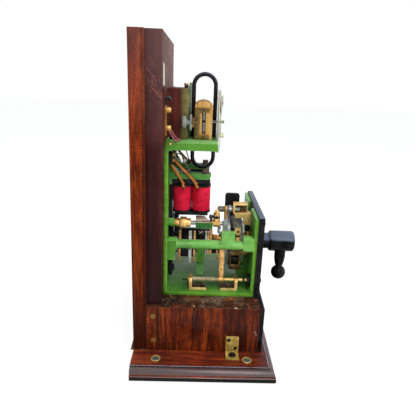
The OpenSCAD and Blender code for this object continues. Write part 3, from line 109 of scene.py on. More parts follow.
class Graph(Nodes):
    """A material's nodes. Patterns use object coordinates in metres. Colours are three display values of 0 to
    255. colour is laid coat on coat, and LOOKS keeps the finished material."""

    def __init__(self, name):
        self.name = name
        self.material = bpy.data.materials.new(name)
        self.material.use_nodes = True
        super().__init__(self.material.node_tree)
        self.where = self.node("ShaderNodeTexCoord").outputs["Object"]
        self.colour = None

    def mapped(self, scale, turn=(0, 0, 0), shift=(0, 0, 0)):
        """Object coordinates, turned by degrees and then scaled."""
        turned = self.node("ShaderNodeMapping", {"Vector": self.where, "Location": list(shift),
            "Rotation": [math.radians(v) for v in turn]}, vector_type="POINT")
        return self.node("ShaderNodeMapping", {"Vector": turned.outputs["Vector"], "Scale": list(scale)},
            vector_type="POINT").outputs["Vector"]

    def noise(self, scale, detail=4, rough=0.55, warp=0, at=None):
        return self.node("ShaderNodeTexNoise", {"Vector": at or self.where, "Scale": scale, "Detail": detail,
            "Roughness": rough, "Distortion": warp}).outputs["Fac"]

    def waves(self, axis, scale, warp):
        return self.node("ShaderNodeTexWave", {"Vector": self.where, "Scale": scale, "Detail": 2,
            "Distortion": warp}, wave_type="BANDS", bands_direction=axis).outputs["Fac"]

    def span(self, value, low, high, to_low=0, to_high=1):
        """value taken from low..high to to_low..to_high, and held there."""
        return self.node("ShaderNodeMapRange", (value, low, high, to_low, to_high)).outputs["Result"]

    def times(self, a, b):
        return self.math("MULTIPLY", a, b)

    def total(self, *weighted):
        """The sum of (value, weight) pairs."""
        whole = None
        for value, weight in weighted:
            part = self.times(value, weight)
            whole = part if whole is None else self.math("ADD", whole, part)
        return whole

    def ramp(self, value, *stops):
        """A colour chosen by a value, from (place, colour) stops."""
        made = self.node("ShaderNodeValToRGB", {"Fac": value})
        points = made.color_ramp.elements
        while len(points) < len(stops):
            points.new(0.5)
        for point, (place, colour) in zip(points, stops):
            point.position = place
            point.color = shader_colour(colour)
        return made.outputs["Color"]

    def mix(self, factor, a, b):
        return self.node("ShaderNodeMix", {0: factor, 6: a, 7: b}, data_type="RGBA").outputs[2]

    def lay(self, share, colour):
        """Covers a share of what is there with a colour."""
        self.colour = self.mix(share, self.colour, colour)

    def axis(self, name, of="place"):
        """One coordinate of the place or of the surface's direction."""
        source = self.where if of == "place" else self.node("ShaderNodeNewGeometry").outputs["Normal"]
        return self.node("ShaderNodeSeparateXYZ", (source,)).outputs[name]

    def edges(self, width, low=0.03, high=0.22):
        """1 along edges and corners, to about width from them, and 0 elsewhere."""
        bevel = self.node("ShaderNodeBevel", {"Radius": width}, samples=4).outputs["Normal"]
        flat = self.node("ShaderNodeNewGeometry").outputs["Normal"]
        dot = self.node("ShaderNodeVectorMath", (bevel, flat), operation="DOT_PRODUCT").outputs["Value"]
        return self.span(self.math("SUBTRACT", 1, dot), low, high)

    def hollows(self, reach):
        """1 in corners and under things nearer than reach, and 0 in the open."""
        made = self.node("ShaderNodeAmbientOcclusion", {"Distance": reach}, samples=4)
        return self.span(made.outputs["AO"], 0.45, 0.9, 1, 0)

    def bump(self, height, depth):
        return self.node("ShaderNodeBump", {"Height": height, "Distance": depth}).outputs["Normal"]

    def done(self, rough, normal, spec=0.5, metallic=0, glow=0):
        """Makes the surface of the colours laid so far."""
        shader = self.node("ShaderNodeBsdfPrincipled", {"Base Color": self.colour, "Roughness": rough,
            "Normal": normal, "Specular IOR Level": spec, "Metallic": metallic, "Emission Strength": glow})
        self.node("ShaderNodeOutputMaterial", {"Surface": shader.outputs["BSDF"]})
        LOOKS[self.name] = self.material


GREY_SCUFF = (158, 150, 142)
# A pale grey-blue colour for a line of painted sheen
ARRIS_SHEEN = (152, 150, 164)
DIRT = (24, 19, 15)

# Height of the frame's floor, place of its rear wall along Y, and a height just under its shelf
FLOOR_TOP, WALL_FACE, SHELF_LOW = 131 * MM, 73 * MM, 403 * MM


def varnished_wood(name, dark, mid, light, along, scuffs=0.5, stains=0.6, spec=0.12, painted_shades=(), embers=0,
        cracks=0, splits=(), rim=()):
    """Old varnished mahogany: figure, pores, stains and worn edges. Each of painted_shades darkens or
    lightens the wood along an axis as painted shade and light, given as (axis, tinted place, clear place,
    strength, tint), splits are the places along Y of long upright cracks, and rim gives |X| and -Y of the
    edges that have a line of painted sheen inside them, and the height above which it shows."""
    g = Graph(name)
    stretch = {"y": (62, 4.5, 62), "z": (62, 62, 4.5)}[along]
    figure = g.noise(1, 6, 0.62, 1.1, at=g.mapped(stretch))
    fine = g.noise(1, 4, 0.6, 0.3, at=g.mapped([v * 5 for v in stretch]))
    pores = g.noise(1, 2, 0.5, at=g.mapped([v * 17 for v in stretch]))
    flecks = g.noise(330, 3, 0.6)
    cloud = g.noise(24, 5, 0.65, 0.6)
    stain = g.noise(9, 4, 0.6, 0.4)
    tone = g.total((figure, 0.42), (fine, 0.24), (flecks, 0.16), (cloud, 0.18))
    g.colour = g.ramp(tone, (0.4, dark), (0.5, mid), (0.61, light))
    g.lay(g.span(stain, 0.5, 0.66, 0, stains), g.mix(0.5, dark, DIRT))
    g.lay(g.span(pores, 0.6, 0.74, 0, 0.7), DIRT)
    if embers:
        glow = g.noise(1, 3, 0.6, 0.8, at=g.mapped([v * 2.6 for v in stretch], shift=(0.3, 0.1, 0.7)))
        g.lay(g.span(glow, 0.56, 0.68, 0, embers), (196, 92, 34))
    if cracks:
        split = g.noise(1, 4, 0.6, 1.6, at=g.mapped([v * 1.7 for v in stretch], shift=(0.6, 0.2, 0.1)))
        ridge = g.math("ABSOLUTE", g.math("SUBTRACT", split, 0.5))
        g.lay(g.span(ridge, 0.004, 0.016, cracks, 0), DIRT)
    # Painted shade and painted light: the wood darker or paler along an axis
    for axis, tinted_place, clear_place, strength, tint in painted_shades:
        reach = g.span(g.axis(axis), tinted_place, clear_place, strength, 0)
        g.lay(reach, tint)
    for place in splits:
        waver = g.total((g.noise(22, 3, 0.6), 5 * MM), (g.axis("Y"), 1), (1, -place - 2.5 * MM))
        g.lay(g.span(g.math("ABSOLUTE", waver), 0.5 * MM, 1.5 * MM, 0.95, 0), DIRT)
    edge = g.edges(1.6 * MM)
    broken = g.noise(190, 4, 0.7)
    g.lay(g.times(edge, g.span(broken, 0.4, 0.6, 0, 0.75)), DIRT)
    worn = g.times(edge, g.span(g.noise(75, 5, 0.75), 0.55, 0.68, 0, scuffs))
    g.lay(worn, GREY_SCUFF)
    # A line of painted sheen inside the top's edges
    if rim:
        side, front, height = rim
        by_side = g.span(g.math("ABSOLUTE", g.axis("X")), side - 2.2 * MM, side - 1.4 * MM)
        by_front = g.span(g.times(g.axis("Y"), -1), front - 2.2 * MM, front - 1.4 * MM)
        line = g.times(g.math("MAXIMUM", by_side, by_front), g.span(g.axis("Z"), height, height + MM))
        line = g.times(line, g.span(g.noise(60, 4, 0.7), 0.36, 0.5, 0.35, 0.85))
        g.lay(line, ARRIS_SHEEN)
    rough = g.total((g.span(stain, 0.3, 0.7, 0.3, 0.46), 1), (flecks, 0.08))
    relief = g.total((pores, -0.5), (fine, 0.5), (g.noise(60, 3, 0.6), 0.6))
    g.done(rough, g.bump(relief, 0.25 * MM), spec)


def bare_dark_wood(name, dark, mid, light, along, scratches=0, scratches_from=0, top_light=0):
    """Unpolished dark wood with fine grain and pale slanting scratches above a height. Where top_light is
    given, painted light makes it paler above that height and painted shade darkens its foot."""
    g = Graph(name)
    stretch = {"y": (90, 5, 90), "z": (90, 90, 5)}[along]
    figure = g.noise(1, 6, 0.6, 0.5, at=g.mapped(stretch))
    fine = g.noise(1, 4, 0.65, at=g.mapped([v * 6 for v in stretch]))
    cloud = g.noise(14, 4, 0.6)
    tone = g.total((figure, 0.45), (fine, 0.3), (cloud, 0.25))
    g.colour = g.ramp(tone, (0.35, dark), (0.5, mid), (0.67, light))
    slant = g.noise(1, 5, 0.75, 1.8, at=g.mapped((30, 170, 24), turn=(36, 0, 0)))
    above = g.span(g.axis("Z"), scratches_from, scratches_from + 0.03)
    patch = g.span(g.noise(17, 2, 0.5), 0.42, 0.56)
    mark = g.times(g.span(slant, 0.53, 0.62, 0, scratches), g.times(above, patch))
    g.lay(mark, (168, 96, 84))
    # Painted shade darkens the foot, and painted light makes the wood paler above the scratches' height
    if top_light:
        g.lay(g.span(g.axis("Z"), 0.13, 0.4, 0.5, 0), (24, 10, 9))
        height = g.total((g.axis("Z"), 1), (cloud, 0.12))
        pale = g.span(height, scratches_from + 0.02, scratches_from + 0.16, 0, top_light)
        g.lay(pale, (150, 112, 108))
    worn = g.times(g.edges(1.2 * MM), g.span(g.noise(120, 4, 0.7), 0.45, 0.6, 0, 0.45))
    g.lay(worn, GREY_SCUFF)
    relief = g.total((fine, 0.6), (figure, 0.6))
    g.done(g.span(cloud, 0.3, 0.7, 0.42, 0.6), g.bump(relief, 0.2 * MM), 0.1)


def worn_ledge(name):
    """The plinth's top: dark scraped varnish with soot, gritty grey patches and bare orange spots."""
    g = Graph(name)
    grain = g.noise(1, 6, 0.65, 1, at=g.mapped((60, 6, 60)))
    g.colour = g.ramp(grain, (0.35, (38, 20, 14)), (0.5, (84, 42, 26)), (0.66, (134, 68, 36)))
    soot = g.noise(26, 6, 0.7, 0.5)
    g.lay(g.span(soot, 0.42, 0.56, 0, 0.85), (34, 27, 22))
    patches = g.span(g.noise(19, 3, 0.6), 0.48, 0.62)
    grit = g.times(g.span(g.noise(300, 5, 0.75), 0.44, 0.6, 0.1, 0.9), patches)
    g.lay(grit, (150, 132, 112))
    chips = g.noise(85, 3, 0.6, 0.3)
    g.lay(g.span(chips, 0.6, 0.66, 0, 0.75), (158, 76, 34))
    g.lay(g.span(chips, 0.69, 0.71, 0, 0.9), (206, 160, 90))
    edge = g.times(g.edges(1.8 * MM, 0.02, 0.18), g.span(g.noise(60, 4, 0.7), 0.34, 0.54))
    g.lay(g.times(edge, 0.85), (112, 100, 98))
    height = g.total((soot, 0.6), (grit, 0.7))
    g.done(g.span(soot, 0.4, 0.6, 0.4, 0.75), g.bump(height, 0.3 * MM), 0.12)


def enamel(name, dark, mid, light, worn, gloss=0.3, grime_and_shade=0, spec=0.18, cool_above=0):
    """Thick hand-brushed paint on cast iron: pale on its worn edges, with dirt and painted shade in its
    corners, painted shade on the floor and rear wall inside the frame, and bluer above a height."""
    g = Graph(name)
    brush = g.noise(1, 5, 0.6, 0.4, at=g.mapped((150, 34, 150)))
    lumps = g.noise(95, 4, 0.55)
    cloud = g.noise(17, 5, 0.6)
    tone = g.total((cloud, 0.55), (brush, 0.2), (lumps, 0.25))
    g.colour = g.ramp(tone, (0.36, dark), (0.5, mid), (0.66, light))
    if cool_above:
        g.lay(g.span(g.axis("Z"), cool_above, cool_above + 5 * MM, 0, 0.8), (86, 148, 52))
    # Painted shade: dark blue-green on the frame's floor and rear wall, strongest in the middle, fading
    # towards its sides
    if grime_and_shade:
        on_floor = g.span(g.axis("Z"), FLOOR_TOP, FLOOR_TOP + 3 * MM, 1, 0)
        low_or_rear = g.math("MAXIMUM", on_floor, g.span(g.axis("Y"), WALL_FACE, WALL_FACE + 2 * MM))
        from_side = g.span(g.math("ABSOLUTE", g.axis("X")), 62 * MM, 92 * MM, grime_and_shade, 0)
        g.lay(g.times(low_or_rear, from_side), (44, 78, 56))
    g.lay(g.times(g.edges(2.0 * MM, 0.02, 0.16), g.span(lumps, 0.3, 0.6, 0.5, 0.95)), worn)
    # Dirt and painted shade in corners and under things
    corner = g.times(g.hollows(9 * MM), g.span(g.noise(70, 5, 0.7), 0.38, 0.62, 0.1, 0.8))
    g.lay(corner, (46, 44, 18))
    chips = g.span(g.noise(210, 4, 0.7), 0.69, 0.72, 0, 0.8)
    g.lay(chips, (60, 40, 20))
    rough = g.span(g.noise(40, 4, 0.6), 0.3, 0.7, gloss, gloss + 0.18)
    height = g.total((lumps, 0.7), (brush, 0.4), (chips, -0.5))
    g.done(rough, g.bump(height, 0.35 * MM), spec)


def metal(name, dark, mid, light, rough, tarnish, spots=0.5, lines="Y", metallic=1, glow=0):
    """Machined metal: tool marks along an axis, or along none for "-", soft clouding, tarnish in corners and
    bright edges. glow stands for light that the real piece catches and that doesn't reach this one."""
    g = Graph(name)
    stretches = {"X": (40, 1500, 1500), "Y": (1500, 40, 1500), "Z": (1500, 1500, 40), "-": (300, 300, 300)}
    marks = g.noise(1, 3, 0.6, at=g.mapped(stretches[lines]))
    cloud = g.noise(60, 5, 0.65, 0.4)
    g.colour = g.ramp(g.total((cloud, 0.7), (marks, 0.3)), (0.35, dark), (0.5, mid), (0.65, light))
    stain = g.times(g.hollows(5 * MM), g.span(g.noise(140, 4, 0.7), 0.35, 0.6, 0.2, spots))
    g.lay(stain, tarnish)
    g.lay(g.span(g.noise(260, 4, 0.7), 0.62, 0.72, 0, spots), tarnish)
    g.lay(g.times(g.edges(0.5 * MM), 0.5), light)
    gloss = g.total((cloud, 0.25), (marks, 0.12), (rough, 0.75))
    g.done(gloss, g.bump(g.total((marks, 0.5), (cloud, 0.5)), 0.06 * MM), metallic=metallic, glow=glow)


def japan_black(name, base, worn, gloss=0.16, wear=0.5, spec=0.12, top_highlight=0):
    """Glossy black: fine lumps, brown or grey where it has rubbed through, and a painted grey-blue highlight
    on its upward faces.
    """
    g = Graph(name)
    cloud = g.noise(45, 5, 0.6)
    rub = g.times(g.edges(1.1 * MM), g.span(g.noise(150, 5, 0.75), 0.42, 0.6, 0, wear))
    g.colour = g.ramp(cloud, (0.4, base), (0.7, (40, 40, 43)))
    # Painted highlight: faces that look up turn pale grey-blue
    if top_highlight:
        upward = g.math("ADD", g.axis("Z", "normal"), g.times(cloud, 0.12))
        g.lay(g.span(upward, 0.36, 0.5, 0, top_highlight), (112, 124, 142))
    g.lay(rub, worn)
    g.lay(g.span(g.noise(380, 3, 0.7), 0.68, 0.74, 0, wear), worn)
    rough = g.total((g.span(cloud, 0.3, 0.7, gloss, gloss + 0.14), 1), (rub, 0.3))
    g.done(rough, g.bump(g.total((cloud, 1), (g.noise(220, 3, 0.6), 0.3)), 0.12 * MM), spec)


def cotton_tape(name):
    """Red cloth tape wound round a coil: weave, faint laps, and darker grubby spots."""
    g = Graph(name)
    threads = g.times(g.waves("Z", 420, 0.6), g.waves("Y", 420, 0.6))
    lap = g.noise(1, 3, 0.5, 0.6, at=g.mapped((22, 22, 120), turn=(4, 3, 0)))
    cloud = g.noise(70, 4, 0.6)
    tone = g.total((cloud, 0.5), (lap, 0.35), (threads, 0.15))
    g.colour = g.ramp(tone, (0.3, (186, 16, 44)), (0.5, (228, 26, 62)), (0.7, (246, 56, 88)))
    g.lay(g.span(g.noise(160, 5, 0.7), 0.64, 0.76, 0, 0.4), (120, 10, 26))
    creases = g.noise(1, 3, 0.6, 1.2, at=g.mapped((260, 260, 34)))
    height = g.total((threads, 0.3), (lap, 0.8), (cloud, 0.5), (creases, 0.5))
    g.done(g.span(cloud, 0.3, 0.7, 0.5, 0.66), g.bump(height, 0.45 * MM), 0.12)


def woven_sleeve(name, dark, mid, light):
    """Cloth sleeving on a wire, with a fine slanting weave."""
    g = Graph(name)
    weave = g.times(g.waves("Z", 500, 0.4), g.waves("X", 500, 0.4))
    cloud = g.noise(110, 5, 0.65)
    g.colour = g.ramp(g.total((cloud, 0.75), (weave, 0.25)), (0.3, dark), (0.5, mid), (0.68, light))
    g.lay(g.span(g.noise(240, 4, 0.7), 0.6, 0.7, 0, 0.5), dark)
    g.done(0.55, g.bump(g.total((weave, 0.6), (cloud, 1)), 0.2 * MM), 0.15)


def pale_boxwood(name):
    """Ochre boxwood with vertical grain, with painted brown shade in its corners and under things."""
    g = Graph(name)
    grain = g.noise(1, 5, 0.6, 0.5, at=g.mapped((170, 170, 14)))
    fine = g.noise(1, 3, 0.6, at=g.mapped((900, 900, 60)))
    g.colour = g.ramp(g.total((grain, 0.7), (fine, 0.3)), (0.34, (176, 122, 54)), (0.5, (222, 172, 96)),
        (0.67, (240, 200, 134)))
    # Painted shade, brown, in the hollows
    g.lay(g.times(g.hollows(6 * MM), 0.7), (110, 74, 28))
    g.done(g.span(grain, 0.3, 0.7, 0.3, 0.42), g.bump(fine, 0.08 * MM), 0.2)


def white_enamelled(name, base, aged, glow=0):
    """White enamel or ivory, a little yellowed and crazed."""
    g = Graph(name)
    cloud = g.noise(60, 5, 0.65)
    g.colour = g.ramp(cloud, (0.35, aged), (0.55, base))
    grime_and_shade = g.times(g.edges(1.2 * MM), g.span(g.noise(180, 4, 0.7), 0.4, 0.6, 0.1, 0.6))
    g.lay(grime_and_shade, (110, 100, 82))
    g.done(g.span(cloud, 0.3, 0.7, 0.22, 0.34), g.bump(cloud, 0.1 * MM), 0.4, glow=glow)


BRASS_TARNISH = (66, 46, 20)
# Colours of painted shade and painted light on the boards
DEEP_RED = (38, 13, 10)
TOP_LIGHT_RED = (160, 106, 98)
RIM_X, RIM_Y, RIM_Z = 189 * MM, 124.5 * MM, 24.5 * MM
PLINTH_CRACKS = (86.6 * MM, 22.1 * MM, -93.1 * MM)

# The base's top: painted shade towards the front, and the line of painted sheen inside its edges
varnished_wood("base_wood", (56, 18, 12), (124, 46, 26), (172, 78, 38), "y", spec=0.2,
    painted_shades=(("Y", -0.13, 0, 0.6, (30, 16, 14)),), embers=0.4, rim=(RIM_X, RIM_Y, RIM_Z))
# A darker, bluer copy of the base's wood: painted reflection on the moulding
varnished_wood("moulding_sheen_wood", (42, 20, 20), (70, 33, 32), (112, 56, 50), "y", spec=1, scuffs=0.9)
# Near-black wood: painted shade on the base's foot and on the step above the moulding
bare_dark_wood("footing_shade_wood", (8, 6, 5), (17, 13, 11), (40, 31, 25), "y")
# Painted shade on the lower parts of the back board and its facing, and painted light on their upper parts
varnished_wood("board_wood", (52, 17, 9), (128, 48, 20), (196, 88, 34), "z", stains=0.8,
    painted_shades=(("Z", 0.06, 0.42, 0.9, DEEP_RED), ("Z", 0.6, 0.44, 0.3, TOP_LIGHT_RED)), embers=0.5, spec=0.05)
varnished_wood("facing_wood", (42, 15, 9), (92, 36, 18), (146, 68, 32), "z",
    painted_shades=(("Z", 0.1, 0.46, 0.8, DEEP_RED), ("Z", 0.6, 0.44, 0.2, TOP_LIGHT_RED)), embers=0.2, spec=0.06)
# Painted shade on the plinth's sides towards the front
varnished_wood("panel_wood", (34, 10, 6), (96, 32, 13), (164, 70, 26), "z", stains=0.85, embers=0.55,
    cracks=0.8, splits=PLINTH_CRACKS, painted_shades=(("Y", -0.11, 0.03, 0.5, DEEP_RED),))
worn_ledge("ledge_wood")
# The inner board has painted light on its upper part and painted shade at its foot
bare_dark_wood("inner_wood", (26, 11, 11), (57, 22, 22), (92, 40, 37), "z", 0.85, 0.46, 0.3)
bare_dark_wood("rear_wood", (40, 22, 15), (74, 42, 28), (104, 62, 40), "z")
bare_dark_wood("block_wood", (48, 18, 14), (78, 30, 24), (106, 46, 36), "z")
japan_black("front_black", (8, 7, 8), (66, 50, 40), 0.34, 0.5, 0.06)
# plate_black, hub_black, screw_iron and magnet_black have a painted highlight on their upward faces
japan_black("plate_black", (14, 14, 17), (112, 96, 84), 0.3, 0.8, 0.1, 0.6)
japan_black("hub_black", (6, 6, 7), (104, 72, 52), 0.16, 0.6, 0.06, 0.8)
japan_black("ball_black", (6, 6, 7), (104, 72, 52), 0.1, 0.3, 0.06)
japan_black("screw_iron", (22, 23, 22), (120, 114, 100), 0.2, 0.6, 0.3, 0.5)
japan_black("ebonite_black", (14, 13, 14), (58, 48, 40), 0.26, 0.3)
japan_black("iron_black", (20, 20, 22), (70, 62, 54), 0.3, 0.5)
japan_black("magnet_black", (9, 10, 14), (82, 80, 80), 0.2, 0.3, 0.2, 0.3)
# The frame's green has painted shade inside the frame
enamel("green", (60, 110, 34), (88, 150, 50), (110, 172, 66), (158, 212, 128), grime_and_shade=0.45)
# A paler copy of the frame's green, as painted light
enamel("green_lit_top", (92, 150, 72), (122, 186, 100), (150, 210, 132), (180, 226, 160))
# A lighter copy of the frame's green, as painted light
enamel("green_lit_bar", (86, 150, 60), (112, 184, 78), (142, 208, 104), (190, 232, 160), 0.26, spec=0.4)
# A brighter copy of the frame's green, as painted light
enamel("green_lit_edge", (72, 130, 28), (104, 168, 42), (130, 192, 60), (170, 218, 120), cool_above=SHELF_LOW)
enamel("green_bracket", (54, 108, 44), (82, 146, 60), (108, 172, 84), (166, 214, 160))
enamel("green_dark", (24, 66, 28), (44, 102, 42), (64, 124, 56), (120, 180, 112))
metal("brass", (150, 104, 48), (206, 160, 92), (240, 200, 132), 0.42, BRASS_TARNISH)
metal("brass_lined", (160, 112, 56), (216, 168, 104), (246, 208, 142), 0.38, BRASS_TARNISH, 0.4, "Z")
metal("old_brass", (92, 70, 28), (150, 120, 58), (190, 158, 86), 0.45, (44, 34, 16), 0.8, "X")
metal("olive_brass", (84, 76, 42), (118, 108, 66), (150, 138, 90), 0.55, (54, 44, 24), 0.5, "Z", 0.7)
metal("plate_brass", (66, 50, 22), (100, 78, 36), (140, 112, 58), 0.55, (40, 30, 14), 0.7, "Y", 0.4)
metal("dark_brass", (58, 46, 26), (92, 76, 46), (140, 116, 72), 0.45, (26, 20, 12), 0.8, "-")
metal("steel", (104, 104, 106), (160, 160, 162), (206, 206, 208), 0.36, (48, 42, 36), 0.5)
metal("dark_steel", (46, 44, 44), (84, 82, 82), (130, 128, 128), 0.4, (30, 24, 20), 0.7)
metal("nickel", (150, 150, 144), (206, 206, 198), (236, 236, 228), 0.34, (70, 68, 62), 0.4, "Y", 0.5)
metal("spring_steel", (140, 132, 112), (214, 204, 180), (244, 238, 222), 0.4, (70, 62, 50), 0.4, "Y", 0.5)
metal("rusty_plate", (196, 160, 136), (240, 208, 184), (250, 232, 214), 0.6, (176, 140, 116), 0.9, "X", 0)
metal("soft_nickel", (104, 107, 99), (142, 146, 137), (176, 180, 170), 0.6, (66, 66, 56), 0.6, "-", 0.15)
metal("catch_brass", (128, 104, 40), (186, 158, 76), (226, 200, 122), 0.5, (70, 52, 20), 0.7, "-", 0.5)
metal("screw_brass", (84, 60, 20), (126, 94, 38), (168, 132, 64), 0.5, (40, 28, 12), 0.7, "-", 0.4)
# A pale, nearly unmetallic steel that glows a little: painted light on the needle in the bobbins' window
metal("lit_blue_steel", (128, 134, 152), (176, 184, 204), (214, 220, 232), 0.5, (60, 60, 66), 0.4, "Z", 0.1, 0.16)
metal("grey_brown_steel", (70, 62, 52), (122, 112, 98), (168, 158, 142), 0.5, (40, 32, 26), 0.7, "X", 0.5)
metal("bright_brass", (206, 160, 86), (250, 210, 130), (255, 232, 170), 0.45, BRASS_TARNISH, 0.3, "Z", 0.6)
metal("rusty_bolt", (58, 40, 34), (96, 70, 60), (140, 110, 98), 0.55, (40, 26, 20), 0.8, "-", 0.5)
metal("grey_green_steel", (70, 84, 68), (104, 120, 98), (140, 154, 130), 0.5, (48, 54, 40), 0.5, "Z", 0.5)
metal("matt_grey", (66, 67, 62), (106, 108, 101), (150, 152, 144), 0.6, (50, 48, 44), 0.6, "-", 0.3)
metal("bronze_screw", (70, 64, 54), (128, 118, 102), (184, 174, 154), 0.42, (36, 30, 22), 0.6, "-")
cotton_tape("red_tape_cloth")
japan_black("red_ebonite", (58, 20, 16), (96, 60, 44), 0.3, 0.3, 0.4)
enamel("red_paint", (120, 22, 22), (160, 34, 30), (182, 52, 44), (196, 110, 96))
woven_sleeve("orange_cloth", (146, 82, 30), (212, 130, 58), (236, 170, 102))
woven_sleeve("rose_cloth", (130, 62, 66), (186, 106, 110), (214, 150, 148))
pale_boxwood("boxwood_turned")
white_enamelled("dial_white", (226, 227, 218), (210, 209, 197))
# Glows a little: painted light on the dial's back
white_enamelled("lit_dial_back", (236, 236, 224), (222, 220, 204), 0.2)
white_enamelled("ivory", (206, 205, 172), (176, 170, 132))
white_enamelled("paper", (206, 200, 172), (170, 160, 128))


# Pieces

ROOT = BODY["main_frame"]


def finish_piece(piece, body, slot, looks, bevel=0.0, smooth=35, replaces=()):
    """Gives a piece its materials, smooth shading, soft edges of a width in millimetres, and body. slot is
    not used.
    """
    for look in looks:
        piece.data.materials.append(LOOKS[look])
    piece.data.shade_smooth()
    if bevel:
        soft = piece.modifiers.new("soft_edges", "BEVEL")
        soft.width = bevel * MM
        soft.segments = 2
        soft.limit_method = "ANGLE"
        soft.angle_limit = math.radians(smooth)
        soft.harden_normals = True
    else:
        piece.data.set_sharp_from_angle(angle=math.radians(smooth))
    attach(piece, body)
    if replaces:
        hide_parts(*replaces)
    return piece


def placed(name, data):
    """A new object of the scene."""
    made = bpy.data.objects.new(name, data)
    bpy.context.scene.collection.objects.link(made)
    return made


def made_object(name, shape):
    """A new object of the scene, made from a bmesh."""
    data = bpy.data.meshes.new(name)
    shape.to_mesh(data)
    shape.free()
    return placed(name, data)


def dressed(node, slot, look, bevel=0.4, others=(), choose=None, reshape=None):
    """A copy of a CAD node with soft edges. choose(centre in millimetres, normal) gives a face's index in
    look + others, or says whether it has the second look. reshape(place in metres) gives a point's new
    place."""
    shape = bmesh.new()
    shape.from_mesh(NODES[node].data)
    bmesh.ops.remove_doubles(shape, verts=shape.verts, dist=2e-6)
    bmesh.ops.dissolve_limit(shape, angle_limit=math.radians(0.4), verts=shape.verts, edges=shape.edges)
    if reshape:
        for vert in shape.verts:
            vert.co = reshape(vert.co)
    if choose:
        for face in shape.faces:
            face.material_index = int(choose(face.calc_center_median() / MM, face.normal))
    piece = made_object("worn_" + node, shape)
    return finish_piece(piece, BODY[node], slot, (look, *others), bevel, replaces=(node,))


class Shape:
    """A piece in millimetres, gathered in a with block from a few forms that machine parts are made of. index
    says which of its looks the next form has."""

    def __init__(self, name, slot, *looks, body=ROOT, **finish):
        self.name = name
        self.settings = dict(body=body, slot=slot, looks=looks, **finish)
        self.mesh = bmesh.new()
        self.index = 0

    def __enter__(self):
        return self

    def __exit__(self, *raised):
        bmesh.ops.recalc_face_normals(self.mesh, faces=self.mesh.faces)
        finish_piece(made_object(self.name, self.mesh), **self.settings)

    def skin(self, rings, close_ends=True):
        """Joins equal closed rings of points, one after another. A ring of one point closes to a tip."""
        made = [[self.mesh.verts.new([v * MM for v in p]) for p in ring] for ring in rings]
        for a, b in zip(made, made[1:]):
            count = max(len(a), len(b))
            for i in range(count):
                j = (i + 1) % count
                corners = [a[i % len(a)], a[j % len(a)], b[j % len(b)], b[i % len(b)]]
                distinct = list(dict.fromkeys(corners))
                if len(distinct) > 2:
                    self.mesh.faces.new(distinct).material_index = self.index
        if close_ends:
            for ring in (made[0], made[-1]):
                if len(ring) > 2:
                    self.mesh.faces.new(ring).material_index = self.index

    def lathe(self, at, axis, profile, sides=28):
        """Turns (distance along the axis, radius) points round an axis through at."""
        turn = Vector(axis).to_track_quat("Z", "Y").to_matrix()
        rings = []
        for along, radius in profile:
            count = 1 if radius == 0 else sides
            angles = [math.tau * i / count for i in range(count)]
            rings.append([Vector(at) + turn @ Vector((radius * math.cos(a), radius * math.sin(a), along))
                for a in angles])
        self.skin(rings)

    def box(self, low, high):
        (x0, y0, z0), (x1, y1, z1) = low, high
        self.skin([[(x0, y0, z), (x1, y0, z), (x1, y1, z), (x0, y1, z)] for z in (z0, z1)])

    def tube(self, points, radius, sides=14):
        """A round bar or wire along a list of points."""
        # Of two axes that are as good, rounding picks one: it does so in metres, as in the finished mesh
        start, second = (Vector([v * MM for v in p]) for p in points[:2])
        across = (second - start).orthogonal().normalized()
        points = [Vector(p) for p in points]
        rings = []
        for i, point in enumerate(points):
            ahead = points[min(i + 1, len(points) - 1)] - points[max(i - 1, 0)]
            ahead.normalize()
            across = (across - ahead * across.dot(ahead)).normalized()
            other = ahead.cross(across)
            rings.append([point + radius * (math.cos(math.tau * k / sides) * across
                + math.sin(math.tau * k / sides) * other) for k in range(sides)])
        self.skin(rings)

    def screw_head(self, at, axis, radius, height, turn=0.0, dome=0.5, slot=0.13, sides=28):
        """A slotted head standing on at. dome is the share of its height that is rounded."""
        depth = 0.45 * height
        self.lathe(at, axis, [(0, radius), (height - depth, radius)], sides)
        facing = Vector(axis).to_track_quat("Z", "Y").to_matrix()
        turned = facing @ Matrix.Rotation(math.radians(turn), 3, "Z")
        reach = math.asin(slot)
        angles = [-math.pi / 2 + reach + (math.pi - 2 * reach) * i / sides for i in range(sides + 1)]
        for side in (1, -1):
            rings = []
            for share, shrink in ((0, 1), (1 - dome, 1), (1 - dome / 3, 0.93), (1, 0.8)):
                z = height - depth + depth * share
                r = radius * shrink
                inner = slot * (radius - r)
                half = [(side * (inner + math.cos(a) * r), math.sin(a) * r, z) for a in angles]
                rings.append([Vector(at) + turned @ Vector(p) for p in half])
            self.skin(rings)


# The wooden case


def base_part(c, n):
    """The flat top, then the rounded moulding in a bluer copy of the wood as painted reflection, then the
    plain edge under it and the step above it in near-black wood as painted shade.
    """
    if c.z < 9 or (abs(n.z) < 0.1 and c.z > 20 and abs(c.y) < 135):
        return 2
    return 0.1 < n.z < 0.97 or 20 < c.z < 25


dressed("base_board", "mahogany", "base_wood", 0.9, ("moulding_sheen_wood", "footing_shade_wood"), base_part)
dressed("plinth_sides", "mahogany", "panel_wood", 0.7)
dressed("plinth_top", "mahogany", "ledge_wood", 0.9, ("panel_wood",), lambda c, n: abs(n.z) < 0.5)
dressed("plinth_front", "black_wood", "front_black", 0.7)
dressed("plinth_rail", "dark_wood", "rear_wood", 0.5)
dressed("back_board", "mahogany", "board_wood", 0.8)
dressed("back_facing", "mahogany", "facing_wood", 0.7)
dressed("inner_backboard", "dark_wood", "inner_wood", 0.8)
dressed("back_sill_strip", "brass", "dark_brass", 0.3)
dressed("screw_cups", "brass", "catch_brass", 0.25)
dressed("cover_catches", "brass", "catch_brass", 0.3)
dressed("wood_screws", "brass", "screw_brass", 0.12, ("iron_black",), lambda c, n: c.y < 0)

# The castings


